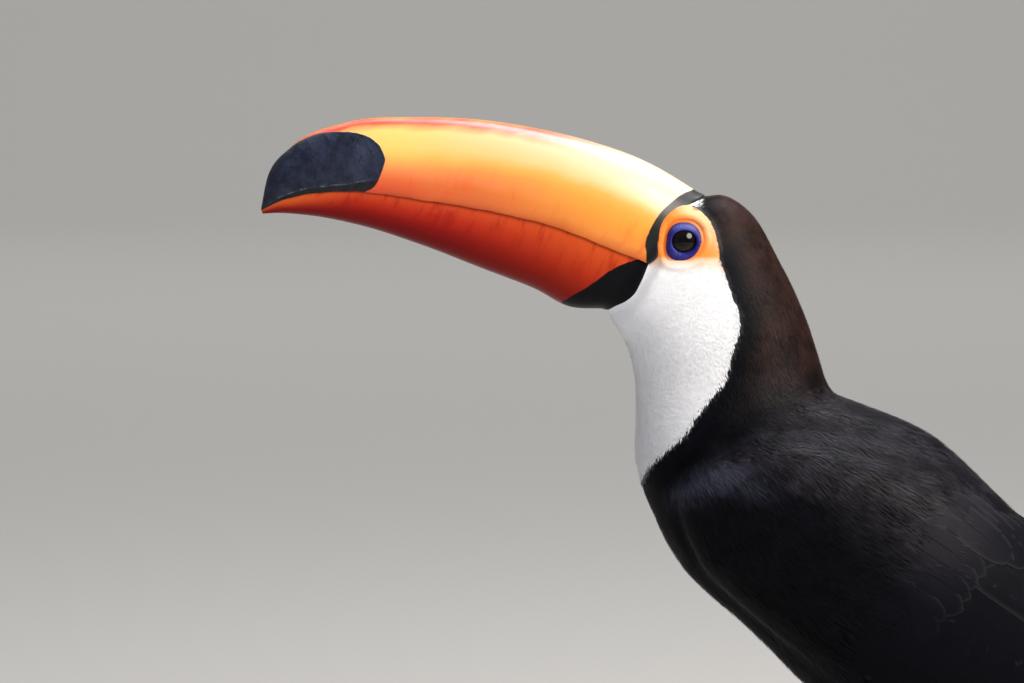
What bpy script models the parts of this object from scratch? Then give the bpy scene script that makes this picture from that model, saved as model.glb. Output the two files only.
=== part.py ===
"""A life-size toco toucan standing on the floor, modelled as closed solids.

Frame: metres, +Z up. The bird faces -X and is symmetric about the plane Y = 0, its left side at -Y.
The origin is on the floor, under the middle of its length. The sizes below are in millimetres and
degrees.
"""

from math import cos, pi, radians, sin

import bmesh
import bpy
import numpy as np

MM = 0.001
MERGE = 1e-6  # metres within which two points of one mesh are the same
GAP = 0.3  # clearance between neighbouring solids
SHARP = 50.0  # edges steeper than this stay sharp

# ---------------------------------------------------------------- driving sizes

# Bill sections from the face to the tip: ridge of the upper bill, mouth line and keel of the lower
# bill as (x, z), then the half width at the mouth line.
BILL = [
    ("base", (-57.8, 304.9), (-84.5, 272.9), (-101.3, 252.8), 21.6),
    ("cheek", (-76.5, 316.2), (-98.5, 278.9), (-114.5, 253.4), 21.9),
    ("arch", (-104.5, 327.3), (-121.5, 288.8), (-132.0, 261.9), 21.0),
    ("middle", (-142.5, 335.8), (-148.5, 297.0), (-155.0, 270.8), 18.9),
    ("crest", (-183.0, 338.7), (-183.5, 303.2), (-184.0, 282.0), 15.9),
    ("shoulder", (-216.0, 336.4), (-213.5, 305.6), (-211.0, 290.5), 12.6),
    ("hook", (-240.5, 325.8), (-237.0, 303.6), (-234.0, 294.8), 8.6),
    ("nail", (-251.6, 311.8), (-249.0, 299.9), (-247.5, 295.7), 4.6),
    ("tip", (-254.5, 297.9), (-254.2, 296.6), (-253.7, 295.4), 1.2),
]
UPPER_BILL = {"roundness": 2.35, "bulge": 0.10, "share": 1.0}  # section shape, share of the half width
LOWER_BILL = {"roundness": 2.5, "bulge": 0.04, "share": 0.975}
BILL_EASE = 1.25  # how much closer the rings stand towards the tip

# Body sections from the bill to the tail's end: belly-side point and back-side point as (x, z), half
# width, squareness of the section (2 is an ellipse), and how much wider its belly half is.
BODY = [
    ("face", (-101.2, 252.3), (-57.4, 304.5), 21.4, 2.7, 0.00),
    ("eye", (-99.6, 249.6), (-47.0, 303.9), 24.6, 2.7, 0.00),
    ("crown", (-97.4, 247.0), (-36.6, 297.7), 26.8, 2.5, 0.02),
    ("nape", (-93.4, 242.0), (-22.4, 275.4), 28.6, 2.25, 0.03),
    ("throat", (-88.6, 231.0), (-10.6, 250.8), 30.2, 2.1, 0.04),
    ("low_neck", (-86.3, 214.0), (-2.4, 226.4), 31.5, 2.1, 0.02),
    ("neck_base", (-86.6, 201.0), (2.2, 214.6), 35.5, 2.1, 0.00),
    ("shoulders", (-86.9, 183.0), (21.0, 207.4), 42.5, 2.1, 0.00),
    ("breast", (-80.9, 167.0), (42.5, 198.6), 46.5, 2.1, 0.00),
    ("keel", (-66.6, 137.4), (62.0, 184.0), 49.0, 2.1, 0.02),
    ("middle", (-34.5, 107.8), (79.7, 166.2), 49.5, 2.1, 0.05),
    ("belly", (-1.5, 75.3), (94.5, 151.2), 47.0, 2.1, 0.06),
    ("thigh", (34.0, 53.2), (112.0, 131.5), 41.0, 2.1, 0.05),
    ("rump", (80.0, 50.5), (131.0, 108.0), 31.5, 2.1, 0.02),
    ("tail_root", (111.0, 57.8), (146.0, 95.0), 24.0, 2.3, 0.00),
    ("coverts", (148.0, 63.0), (167.0, 85.4), 21.5, 2.8, 0.00),
    ("vanes", (185.0, 62.5), (191.5, 74.6), 24.0, 3.6, 0.00),
    ("fan", (222.0, 52.4), (225.5, 59.6), 27.5, 4.0, 0.00),
    ("tail_round", (246.0, 43.7), (248.2, 49.4), 25.0, 3.6, 0.00),
    ("tail_end", (253.0, 41.2), (254.5, 46.2), 15.0, 3.0, 0.00),
]

# The lengths that the body is parted into: first and last section, rings, finish.
LENGTHS = {
    "head": ("face", "nape", 9, "crown_feathers"),
    "neck": ("nape", "neck_base", 8, "throat_feathers"),
    "trunk": ("neck_base", "tail_root", 18, "black_feathers"),
    "tail": ("tail_root", "tail_end", 12, "black_feathers"),
}

# The folded wing, along the body's side: a section and a share of the way to the next one, or back
# to the last one; angles of the wing's lower and upper edge round the body, where -90 is the belly
# line and 90 the back line; and its thickness over the body.
WING = [
    ("shoulders", 0.05, -34.0, -2.0, 3.2),
    ("breast", -0.60, -43.0, 12.0, 6.6),
    ("breast", 0.10, -50.0, 26.0, 7.4),
    ("keel", 0.00, -57.0, 47.0, 6.6),
    ("middle", 0.00, -56.0, 60.0, 6.2),
    ("belly", 0.20, -46.0, 70.0, 6.0),
    ("thigh", 0.20, -28.0, 76.0, 5.6),
    ("rump", 0.20, 2.0, 79.0, 5.0),
    ("tail_root", 0.30, 34.0, 81.0, 4.0),
    ("coverts", 0.00, 60.0, 80.0, 2.4),
]
WING_THINNING = 0.72  # share of its thickness that the wing loses at its edges
WING_FLATNESS = 3.5  # how far out its full thickness is kept
WING_ROOT = 2.0  # how far the wing goes in before the body is cut out of it
WING_CROWDING = 0.35  # how much closer its rings stand at the two ends

EYE_CENTRE = (-65.2, 19.2, 284.4)  # of the right eye
EYE_RADIUS = 7.6

# The right leg's centre line as (x, y, z, radius), down through the feathered thigh and the bare
# shank to the foot. The thigh ends at row ANKLE.
LEG = [
    (12.0, 16.0, 84.0, 14.0),
    (15.5, 20.5, 70.0, 12.0),
    (19.5, 25.0, 57.0, 8.2),
    (21.2, 27.0, 47.6, 5.0),
    (19.5, 27.3, 42.0, 4.3),
    (13.0, 27.6, 33.0, 3.2),
    (1.5, 27.9, 18.0, 3.3),
    (-6.0, 28.0, 8.6, 4.4),
]
ANKLE = 3
HEEL = (-7.0, 28.0, 6.2)  # where the toes meet

# Two toes point forwards and two backwards: length, heading from straight ahead (plus is outwards),
# radius at the root and at the tip, and claw length.
TOES = {
    "inner_front": (27.0, -13.0, 3.6, 2.9, 9.5),
    "outer_front": (38.0, 11.0, 3.8, 3.0, 11.5),
    "outer_hind": (32.0, 154.0, 3.7, 2.9, 10.5),
    "inner_hind": (20.0, -160.0, 3.4, 2.7, 8.5),
}
TOE_SOLE = 0.85  # height of a toe's middle over the floor, as a share of its radius
TOE_ARCH = 5  # how soon a toe comes down from the heel to the floor
TOE_PADS = (3, 0.10)  # pads along a toe, and how much they swell it
CLAW_RISE = 0.45  # radians above level at which a claw leaves its toe
CLAW_CURL = 1.15  # radians that it then turns down through
CLAW_COLLAR = 0.8  # straight part at its root
CLAW_SHARE = 0.72  # radius of its root, as a share of the toe's
CLAW_POINT = 0.35  # radius of its point
CLAW_TAPER = 0.75
CLAW_SINK = 0.6  # share of that radius that the point keeps over the floor

BODY_SIDES = 32  # faces round a body section
BILL_SIDES = 16  # faces round half a bill's section
BILL_RINGS = 20
WING_RINGS = 20
WING_ACROSS = 9  # points across a wing
EYE_SIDES = (16, 9)
TUBE_SIDES = 8
THIGH_SIDES = 12
LEG_RINGS = 15
TOE_RINGS = 7
CLAW_RINGS = 7

COLOURS = {  # linear base colour, roughness
    "black_feathers": ((0.012, 0.010, 0.013), 0.60),
    "upper_bill_horn": ((0.900, 0.340, 0.045), 0.30),
    "lower_bill_horn": ((0.560, 0.070, 0.018), 0.32),
    "crown_feathers": ((0.030, 0.018, 0.015), 0.65),
    "throat_feathers": ((0.800, 0.780, 0.760), 0.70),
    "wet_eye": ((0.015, 0.009, 0.006), 0.05),
    "leg_scales": ((0.160, 0.220, 0.300), 0.45),
    "claw_horn": ((0.030, 0.028, 0.030), 0.35),
}
SIDES = {"left": -1, "right": 1}


# ---------------------------------------------------------------- curves and sections


def knots_of(points):
    """Distance along a line of points, one knot for each."""
    steps = np.linalg.norm(np.diff(np.asarray(points, float), axis=0), axis=1)
    return np.concatenate([[0.0], np.cumsum(steps)])


def smooth(knots, values, places):
    """A cubic through values at knots, read at places, with slopes from the neighbouring points."""
    values = np.asarray(values, float)
    places = np.asarray(places, float)
    steps = np.diff(knots)[:, None]
    chords = np.diff(values, axis=0) / steps
    slopes = np.empty_like(values)
    slopes[0] = chords[0]
    slopes[-1] = chords[-1]
    slopes[1:-1] = (chords[:-1] * steps[1:] + chords[1:] * steps[:-1]) / (steps[1:] + steps[:-1])
    i = np.clip(np.searchsorted(knots, places, side="right") - 1, 0, len(knots) - 2)
    h = steps[i]
    t = (places - knots[i])[:, None] / h
    return (
        values[i] * (1 + 2 * t) * (1 - t) ** 2
        + slopes[i] * h * t * (1 - t) ** 2
        + values[i + 1] * t * t * (3 - 2 * t)
        + slopes[i + 1] * h * t * t * (t - 1)
    )


def refined(rows, count):
    """The rows of a centre line, read smoothly at count places."""
    rows = np.asarray(rows, float)
    knots = knots_of(rows[:, :3])
    return smooth(knots, rows, np.linspace(0, knots[-1], count))


def directions(line):
    """Unit vectors along a line of points."""
    ways = np.gradient(np.asarray(line, float)[:, :3], axis=0)
    return ways / np.linalg.norm(ways, axis=1)[:, None]


def signed_power(values, power):
    return np.sign(values) * np.abs(values) ** power


BODY_NAMES = [row[0] for row in BODY]
BODY_ROWS = np.array([[*low, *high, *shape] for _, low, high, *shape in BODY])
BODY_KNOTS = knots_of((BODY_ROWS[:, 0:2] + BODY_ROWS[:, 2:4]) / 2)


def body_place(name, step=0.0):
    """The distance along the body of a named section, or a share of the way to the next or last one."""
    i = BODY_NAMES.index(name)
    if step < 0:
        return BODY_KNOTS[i] + step * (BODY_KNOTS[i] - BODY_KNOTS[i - 1])
    if step > 0:
        return BODY_KNOTS[i] + step * (BODY_KNOTS[i + 1] - BODY_KNOTS[i])
    return BODY_KNOTS[i]


def body_points(place, angles, grow=0.0):
    """Points of the body's section at a place, moved out of its outline by grow. The angles run from
    -90 degrees on the belly line to 90 on the back line on the right side, and on past it on the left."""
    row = smooth(BODY_KNOTS, BODY_ROWS, [place])[0]
    low, high = row[0:2], row[2:4]
    width, square, sag = row[4:]
    middle = (low + high) / 2
    height = np.linalg.norm(high - low) / 2
    way = (high - low) / 2 / height
    across = signed_power(np.cos(angles), 2 / square)
    along = signed_power(np.sin(angles), 2 / square)
    out_side = signed_power(across, square - 1) / width
    out_up = signed_power(along, square - 1) / height
    outward = np.hypot(out_side, out_up)
    side = width * across * (1 - sag * along) + grow * out_side / outward
    up = height * along + grow * out_up / outward
    return np.stack([middle[0] + way[0] * up, side, middle[1] + way[1] * up], axis=1)


def section_normal(place):
    """The unit vector in the plane Y = 0 that points down the body, square to the section."""
    row = smooth(BODY_KNOTS, BODY_ROWS, [place])[0]
    way = (row[2:4] - row[0:2]) / np.linalg.norm(row[2:4] - row[0:2])
    return np.array([way[1], 0.0, -way[0]])


# ---------------------------------------------------------------- meshes


def material(name):
    found = bpy.data.materials.get(name)
    if found:
        return found
    made = bpy.data.materials.new(name)
    made.use_nodes = True
    shader = made.node_tree.nodes["Principled BSDF"]
    colour, roughness = COLOURS[name]
    shader.inputs["Base Color"].default_value = (*colour, 1.0)
    shader.inputs["Roughness"].default_value = roughness
    shader.inputs["Metallic"].default_value = 0.0
    return made


def add_solid(name, points, faces, finish, parent):
    """A closed mesh from points in millimetres, its object placed at the middle of its box."""
    points = np.asarray(points, float) * MM
    middle = (points.min(axis=0) + points.max(axis=0)) / 2
    mesh = bpy.data.meshes.new(name)
    mesh.from_pydata((points - middle).tolist(), [], faces)
    shape = bmesh.new()
    shape.from_mesh(mesh)
    bmesh.ops.remove_doubles(shape, verts=shape.verts, dist=MERGE)
    bmesh.ops.recalc_face_normals(shape, faces=shape.faces)
    shape.to_mesh(mesh)
    shape.free()
    mesh.shade_smooth()
    mesh.set_sharp_from_angle(angle=radians(SHARP))
    mesh.materials.append(material(finish))
    solid = bpy.data.objects.new(name, mesh)
    bpy.context.collection.objects.link(solid)
    solid.location = middle
    solid.parent = parent
    return solid


def as_cutter(solid):
    solid.hide_render = True
    solid.display_type = "WIRE"
    return solid


def apply_boolean(solid, other, operation):
    step = solid.modifiers.new(f"{operation.lower()}_{other.name}", "BOOLEAN")
    step.operation = operation
    step.solver = "EXACT"
    step.object = as_cutter(other)


def lofted(rings):
    """Points and faces of a tube through closed rings of equal length, with both ends capped."""
    count = len(rings[0])
    last = (len(rings) - 1) * count
    faces = []
    for i in range(len(rings) - 1):
        for j in range(count):
            k = (j + 1) % count
            faces.append((i * count + j, i * count + k, (i + 1) * count + k, (i + 1) * count + j))
    faces.append(tuple(range(count)))
    faces.append(tuple(last + j for j in range(count)))
    return np.concatenate(rings), faces


def tube(line, ways, sides=TUBE_SIDES):
    """Points and faces of a round tube through (x, y, z, radius) rows, with rings square to ways.
    What would go below the floor is pressed flat on it."""
    turns = (np.arange(sides) + 0.5) * 2 * pi / sides
    rings = []
    for (x, y, z, radius), way in zip(line, ways):
        beside = np.cross(way, (0.0, 0.0, 1.0))
        beside /= np.linalg.norm(beside)
        above = np.cross(beside, way)
        round_ring = np.outer(np.cos(turns), beside) + np.outer(np.sin(turns), above)
        ring = np.array([x, y, z]) + radius * round_ring
        ring[:, 2] = np.maximum(ring[:, 2], 0.0)
        rings.append(ring)
    return lofted(rings)


# ---------------------------------------------------------------- the parts


def bill_half(mouths, edges, widths, roundness, bulge, share):
    """Rings of one half of the bill, from the mouth line out to an edge line, the ridge or the keel."""
    turns = np.linspace(0, pi, BILL_SIDES + 1)
    rise = np.sin(turns) ** (2 / roundness)
    side = signed_power(np.cos(turns), 2 / roundness) * (1 + 4 * bulge * rise * (1 - rise)) * share
    face = -section_normal(0.0) * GAP
    rings = []
    for mouth, edge, width in zip(mouths, edges, widths):
        length = np.linalg.norm(edge - mouth)
        way = (edge - mouth) / length
        out = GAP / 2 + rise * (length - GAP / 2)
        ring = np.stack([mouth[0] + way[0] * out, side * width, mouth[1] + way[1] * out], axis=1)
        rings.append(ring + face)
    return rings


def make_bill(parent):
    rows = np.array([[*ridge, *mouth, *keel, width] for _, ridge, mouth, keel, width in BILL])
    knots = knots_of(rows[:, 2:4])
    places = knots[-1] * np.sin(np.linspace(0, pi / 2, BILL_RINGS)) ** BILL_EASE
    rows = smooth(knots, rows, places)
    ridges, mouths, keels, widths = rows[:, 0:2], rows[:, 2:4], rows[:, 4:6], rows[:, 6]
    upper = lofted(bill_half(mouths, ridges, widths, **UPPER_BILL))
    lower = lofted(bill_half(mouths, keels, widths, **LOWER_BILL))
    add_solid("bill_upper", *upper, "upper_bill_horn", parent)
    add_solid("bill_lower", *lower, "lower_bill_horn", parent)


def body_rings(length, start_gap=0.0, grow=0.0):
    """Rings of one length of the body, its start held clear of the length before it."""
    first, last, count, _ = LENGTHS[length]
    turns = np.linspace(-pi / 2, 3 * pi / 2, BODY_SIDES + 1)[:-1]
    places = np.linspace(body_place(first), body_place(last), count)
    rings = [body_points(place, turns, grow) for place in places]
    rings[0] = rings[0] + section_normal(places[0]) * start_gap
    return rings


def make_body(parent):
    """The lengths of the body, and a cutter that keeps wings and thighs clear of them."""
    for name, (_, _, _, finish) in LENGTHS.items():
        gap = 0.0 if name == "head" else GAP
        add_solid(name, *lofted(body_rings(name, gap)), finish, parent)
    grown = body_rings("trunk", grow=GAP) + body_rings("tail", grow=GAP)[1:]
    return add_solid("clearance", *lofted(grown), "black_feathers", parent)


def add_ball(name, centre, radius, parent):
    mesh = bpy.data.meshes.new(name)
    ball = bmesh.new()
    bmesh.ops.create_uvsphere(ball, u_segments=EYE_SIDES[0], v_segments=EYE_SIDES[1], radius=radius * MM)
    ball.to_mesh(mesh)
    ball.free()
    mesh.shade_smooth()
    mesh.materials.append(material("wet_eye"))
    solid = bpy.data.objects.new(name, mesh)
    bpy.context.collection.objects.link(solid)
    solid.location = np.array(centre) * MM
    solid.rotation_euler = (radians(90), 0, 0)
    solid.parent = parent
    return solid


def make_eyes(head, parent):
    for side, sign in SIDES.items():
        centre = np.array(EYE_CENTRE) * (1, sign, 1)
        add_ball("eye_" + side, centre, EYE_RADIUS, parent)
        apply_boolean(head, add_ball("socket_" + side, centre, EYE_RADIUS + GAP, parent), "DIFFERENCE")


def wing_rings(sign):
    """Rings round a folded wing, over its outer face and back through the body."""
    rows = np.array([[body_place(name, step), *edges] for name, step, *edges in WING])
    even = np.linspace(0, 1, WING_RINGS)
    crowded = 0.5 - 0.5 * np.cos(pi * even)
    places = WING_CROWDING * crowded + (1 - WING_CROWDING) * even
    across = np.linspace(-1, 1, WING_ACROSS)
    fullness = (1 - WING_THINNING * np.abs(across) ** WING_FLATNESS)[:, None]
    rings = []
    for place, low, high, thick in smooth(np.linspace(0, 1, len(WING)), rows, places):
        angles = np.radians((low + high) / 2 + across * (high - low) / 2)
        skin = body_points(place, angles)
        outer = skin + (body_points(place, angles, thick) - skin) * fullness
        inner = body_points(place, angles, -WING_ROOT)
        rings.append(np.concatenate([outer, inner[::-1]]) * (1, sign, 1))
    return rings


def make_wings(clearance, parent):
    for side, sign in SIDES.items():
        wing = add_solid("wing_" + side, *lofted(wing_rings(sign)), "black_feathers", parent)
        apply_boolean(wing, clearance, "DIFFERENCE")


def toe_line(length, heading, root_radius, tip_radius, sign):
    """A toe's centre line from under the shank along the floor, swollen at its pads, and its heading."""
    ahead = np.array([-cos(radians(heading)), sign * sin(radians(heading)), 0.0])
    pads, swell = TOE_PADS
    rows = []
    for share in np.linspace(0, 1, TOE_RINGS):
        radius = (root_radius + (tip_radius - root_radius) * share) * (1 + swell * cos(2 * pi * pads * share))
        x, y, _ = np.array([HEEL[0], sign * HEEL[1], 0.0]) + ahead * length * share
        sole = radius * TOE_SOLE
        rows.append((x, y, sole + (HEEL[2] - sole) * (1 - share) ** TOE_ARCH, radius))
    return np.array(rows), ahead


def claw_line(root, ahead, length, radius):
    """A claw that starts straight out of the toe's tip, rises a little and curls down to the floor."""
    reach = length / CLAW_CURL
    rows = [(*root, radius)]
    for share in np.linspace(0, 1, CLAW_RINGS):
        turn = CLAW_RISE - CLAW_CURL * share
        out = CLAW_COLLAR + reach * (sin(CLAW_RISE) - sin(turn))
        up = reach * (cos(turn) - cos(CLAW_RISE))
        thick = max(radius * (1 - share) ** CLAW_TAPER, CLAW_POINT)
        rows.append((root[0] + ahead[0] * out, root[1] + ahead[1] * out, root[2] + up, thick))
    rows = np.array(rows)
    drop = rows[-1, 2] - rows[-1, 3] * CLAW_SINK
    rows[1:, 2] -= drop * np.linspace(0, 1, CLAW_RINGS) ** 1.5
    return rows


def make_foot(leg, side, sign, parent):
    """The four toes, united with the shank, and their claws."""
    for name, (length, heading, root_radius, tip_radius, claw) in TOES.items():
        line, ahead = toe_line(length, heading, root_radius, tip_radius, sign)
        toe = add_solid(f"toe_{side}_{name}", *tube(line, directions(line)), "leg_scales", parent)
        apply_boolean(leg, toe, "UNION")
        nail = claw_line(line[-1, :3] + ahead * GAP, ahead, claw, line[-1, 3] * CLAW_SHARE)
        add_solid(f"claw_{side}_{name}", *tube(nail, directions(nail)), "claw_horn", parent)


def make_legs(clearance, parent):
    for side, sign in SIDES.items():
        line = refined(LEG, LEG_RINGS) * (1, sign, 1, 1)
        ways = directions(line)
        split = int(np.argmin(np.abs(line[:, 2] - LEG[ANKLE][2])))
        upper = tube(line[: split + 1], ways[: split + 1], THIGH_SIDES)
        thigh = add_solid("thigh_" + side, *upper, "black_feathers", parent)
        apply_boolean(thigh, clearance, "DIFFERENCE")
        line[split, :3] += ways[split] * GAP
        leg = add_solid("leg_" + side, *tube(line[split:], ways[split:]), "leg_scales", parent)
        make_foot(leg, side, sign, parent)


def main():
    for old in list(bpy.data.objects):
        bpy.data.objects.remove(old)
    toucan = bpy.data.objects.new("toucan", None)
    bpy.context.collection.objects.link(toucan)
    make_bill(toucan)
    clearance = make_body(toucan)
    make_eyes(bpy.data.objects["head"], toucan)
    make_wings(clearance, toucan)
    make_legs(clearance, toucan)


main()
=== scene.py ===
"""A life-size toco toucan: skin, bill, eyes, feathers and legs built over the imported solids.

Laid out as a Blender add-on and run as a script. Lengths are in metres, except that tables of the
bird's lines, feathers and lights give millimetres where their comment says so.
The bird faces -X with its left side towards -Y, and the plane Y = 0 is its middle.
"""

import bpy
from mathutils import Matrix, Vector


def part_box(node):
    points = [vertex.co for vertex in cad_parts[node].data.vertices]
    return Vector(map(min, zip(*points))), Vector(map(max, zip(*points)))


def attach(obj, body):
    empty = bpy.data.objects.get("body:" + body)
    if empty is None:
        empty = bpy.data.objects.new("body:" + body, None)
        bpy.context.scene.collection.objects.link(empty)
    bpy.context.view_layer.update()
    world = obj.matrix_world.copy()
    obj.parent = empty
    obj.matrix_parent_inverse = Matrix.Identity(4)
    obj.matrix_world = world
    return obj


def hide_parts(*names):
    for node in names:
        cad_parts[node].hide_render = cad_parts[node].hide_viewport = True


bl_info = {
    "name": "Toco Toucan",
    "version": (1, 0, 0),
    "blender": (4, 5, 0),
    "location": "View3D > Sidebar > Toucan",
    "description": "Builds a life-size toco toucan with solid feathers over its packed frame",
    "category": "Add Mesh",
}

from functools import partial
from math import cos, pi, radians, sin, sqrt

import bmesh
import bpy
import numpy as np
from bpy.props import FloatProperty, FloatVectorProperty
from mathutils import Vector
from mathutils.bvhtree import BVHTree

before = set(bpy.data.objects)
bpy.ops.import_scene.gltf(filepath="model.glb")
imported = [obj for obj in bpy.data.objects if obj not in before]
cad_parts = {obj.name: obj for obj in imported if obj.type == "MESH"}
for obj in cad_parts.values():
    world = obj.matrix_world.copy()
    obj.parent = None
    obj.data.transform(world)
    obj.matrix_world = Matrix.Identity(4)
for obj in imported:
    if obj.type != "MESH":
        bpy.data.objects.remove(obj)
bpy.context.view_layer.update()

MM = 0.001
SIDES = {"left": -1, "right": 1}
SEED = 11

# ---------------------------------------------------------------- the bird's own lines, in millimetres

# Middle line of the body as (x, z), from the face to the tail's end.
SPINE = [
    (-79.5, 278.5), (-68.0, 271.5), (-57.5, 258.5), (-49.5, 240.5), (-44.0, 219.0), (-40.0, 206.0),
    (-31.0, 194.5), (-19.0, 182.5), (-1.5, 161.0), (22.5, 137.0), (46.5, 113.5), (73.5, 92.5),
    (105.0, 79.5), (128.5, 76.3), (157.5, 74.0), (188.0, 68.3), (224.0, 56.0), (254.0, 43.8),
]

# Top edge of the folded wing's bend as (x, z), along which the feathers are painted paler as a highlight.
WING_BEND = [(-74.0, 171.5), (-68.5, 176.0), (-60.0, 181.0), (-48.3, 183.5), (-36.0, 181.5), (-14.0, 174.0)]

# Back edge of the white bib as (z, x): feathers in front of it are white.
BIB_EDGE = [
    (170.0, -90.0), (176.0, -84.0), (184.0, -80.0), (189.3, -75.5), (194.2, -70.2), (198.7, -65.3),
    (208.5, -58.6), (217.9, -51.5), (223.7, -47.0), (236.2, -43.5), (248.7, -40.3), (255.0, -40.8),
    (261.2, -43.5), (267.5, -45.7), (277.0, -49.3),
]

# Back edge of the bare face skin as (z, x), and the level where the white feathers start under it.
FACE_EDGE = [
    (274.0, -49.5), (281.0, -49.9), (285.1, -50.6), (289.5, -51.9), (293.6, -53.9), (296.7, -56.8),
    (299.4, -60.5), (302.0, -66.0),
]
FACE_FLOOR = 276.0
FACE_PARTING = 7.5  # half width of the feathered strip over the bill's root

# The dark part of the eye and the blue ring round it, as half sizes along x and z.
EYE_OPENING = (5.55, 5.0)
EYE_RING = (7.75, 8.45)


def table(rows, places):
    """A smooth curve through (place, value, ...) rows, read at places."""
    rows = np.asarray(rows, float)
    knots = rows[:, 0]
    values = rows[:, 1:]
    steps = np.diff(knots)[:, None]
    chords = np.diff(values, axis=0) / steps
    slopes = np.empty_like(values)
    slopes[0] = chords[0]
    slopes[-1] = chords[-1]
    slopes[1:-1] = (chords[:-1] * steps[1:] + chords[1:] * steps[:-1]) / (steps[1:] + steps[:-1])
    places = np.asarray(places, float)
    i = np.clip(np.searchsorted(knots, places, side="right") - 1, 0, len(knots) - 2)
    h = steps[i]
    t = (places - knots[i])[..., None] / h
    read = (
        values[i] * (1 + 2 * t) * (1 - t) ** 2
        + slopes[i] * h * t * (1 - t) ** 2
        + values[i + 1] * t * t * (3 - 2 * t)
        + slopes[i + 1] * h * t * t * (t - 1)
    )
    return read


def along_line(points):
    """Distances along a line of points."""
    steps = np.linalg.norm(np.diff(np.asarray(points, float), axis=0), axis=1)
    return np.concatenate([[0.0], np.cumsum(steps)])


def ease(low, high, values):
    """0 below low, 1 above high, smooth between."""
    t = np.clip((np.asarray(values, float) - low) / (high - low), 0, 1)
    return t * t * (3 - 2 * t)


class Line:
    """The body's middle line, and where points lie along and round it."""

    def __init__(self, points, count=700):
        points = np.asarray(points, float) * MM
        knots = along_line(points)
        rows = np.column_stack([knots, points])
        self.along = np.linspace(0, knots[-1], count)
        self.points = table(rows, self.along)
        ways = np.gradient(self.points, axis=0)
        self.ways = ways / np.linalg.norm(ways, axis=1)[:, None]

    def nearest(self, points):
        found = np.empty(len(points), int)
        for start in range(0, len(points), 8192):
            part = points[start:start + 8192][:, (0, 2)]
            away = ((part[:, None, :] - self.points[None]) ** 2).sum(axis=2)
            found[start:start + 8192] = away.argmin(axis=1)
        return found

    def locate(self, points):
        """Distance along the line, angle round it (0 on the back, +-pi on the belly) and its way."""
        points = np.asarray(points, float).reshape(-1, 3)
        i = self.nearest(points)
        way = self.ways[i]
        up = np.stack([-way[:, 1], way[:, 0]], axis=1)
        height = ((points[:, (0, 2)] - self.points[i]) * up).sum(axis=1)
        angle = np.arctan2(points[:, 1], height)
        return self.along[i], angle, np.stack([way[:, 0], np.zeros(len(i)), way[:, 1]], axis=1)

    def place(self, along, angle, reach):
        """The point at a distance along the line, out from it at an angle."""
        i = int(np.clip(np.searchsorted(self.along, along), 0, len(self.along) - 1))
        way = self.ways[i]
        x, z = self.points[i]
        up = cos(angle) * reach
        return np.array([x - way[1] * up, sin(angle) * reach, z + way[0] * up])


BODY_LINE = Line(SPINE)


def markings(points):
    """How white, bare, red and brown the bird is at each point: signed millimetres inside the white
    bib and the bare face, and shares from 0 to 1 for the rest, among them a painted sheen over the
    mantle and a painted highlight along the folded wing's bend."""
    x, y, z = (np.asarray(points, float) / MM).T
    along, angle, _ = BODY_LINE.locate(points)
    along = along / MM
    top = FACE_FLOOR + 1.2 + 2.6 * ease(-50, -53, x) - z
    bib = np.minimum((table(BIB_EDGE, np.clip(z, 170, 277))[:, 0] - 1.0 - x) * 0.8, top)
    face = np.minimum((table(FACE_EDGE, np.clip(z, 274, 302))[:, 0] - x) * 0.85, z - FACE_FLOOR)
    face = np.minimum(face, np.abs(y) - FACE_PARTING)
    # A tuft of white behind the top of the bill's rim.
    spot = 2.1 - np.hypot(x + 60.6, (z - 302.0) * 0.8)
    bib = np.where(np.abs(y) > FACE_PARTING - 2, np.maximum(bib, spot), bib)
    face = np.minimum(face, -spot)
    back = np.abs(angle)
    rump = ease(254, 262, along) * (1 - ease(346, 360, along)) * (1 - ease(0.85, 1.05, back))
    vent = ease(240, 250, along) * (1 - ease(338, 352, along)) * ease(1.95, 2.1, back)
    brown = ease(205, 250, z) * ease(2.0, 14.0, -bib) * (1 - 0.55 * ease(-6.0, 6.0, face + 4))
    peach = (1 - ease(-0.5, 5.5, FACE_FLOOR - z)) * ease(-84, -78, x) * 0.8 * (z < 290)
    # Painted highlight: a paler band along the top of the folded wing's bend.
    ridge = z - table(WING_BEND, np.clip(x, -74.0, -14.0))[:, 0]
    bend = np.exp(-((ridge / (5.0 + 1.5 * (ridge < 0))) ** 2))
    bend *= ease(-78, -70, x) * (1 - ease(-54, -20, x)) * (np.abs(y) > 18)
    # Painted sheen: the mantle's feathers are painted paler where light from above catches them.
    lower = 1.1 + 0.8 * (1 - ease(98, 145, along)) * ease(-1, 5, ridge)
    dusk = ease(80, 104, along) * (1 - ease(178, 222, along)) * (1 - ease(lower, lower + 0.55, back))
    return {"bib": bib, "face": face, "rump": rump, "vent": vent, "brown": brown, "peach": peach,
            "dusk": dusk, "bend": bend}


# ---------------------------------------------------------------- small tools for meshes


def hexa(code):
    """An sRGB hex colour as linear red, green, blue and alpha."""
    parts = [int(code[i:i + 2], 16) / 255 for i in (1, 3, 5)]
    return tuple(c / 12.92 if c <= 0.04045 else ((c + 0.055) / 1.055) ** 2.4 for c in parts) + (1.0,)


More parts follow.
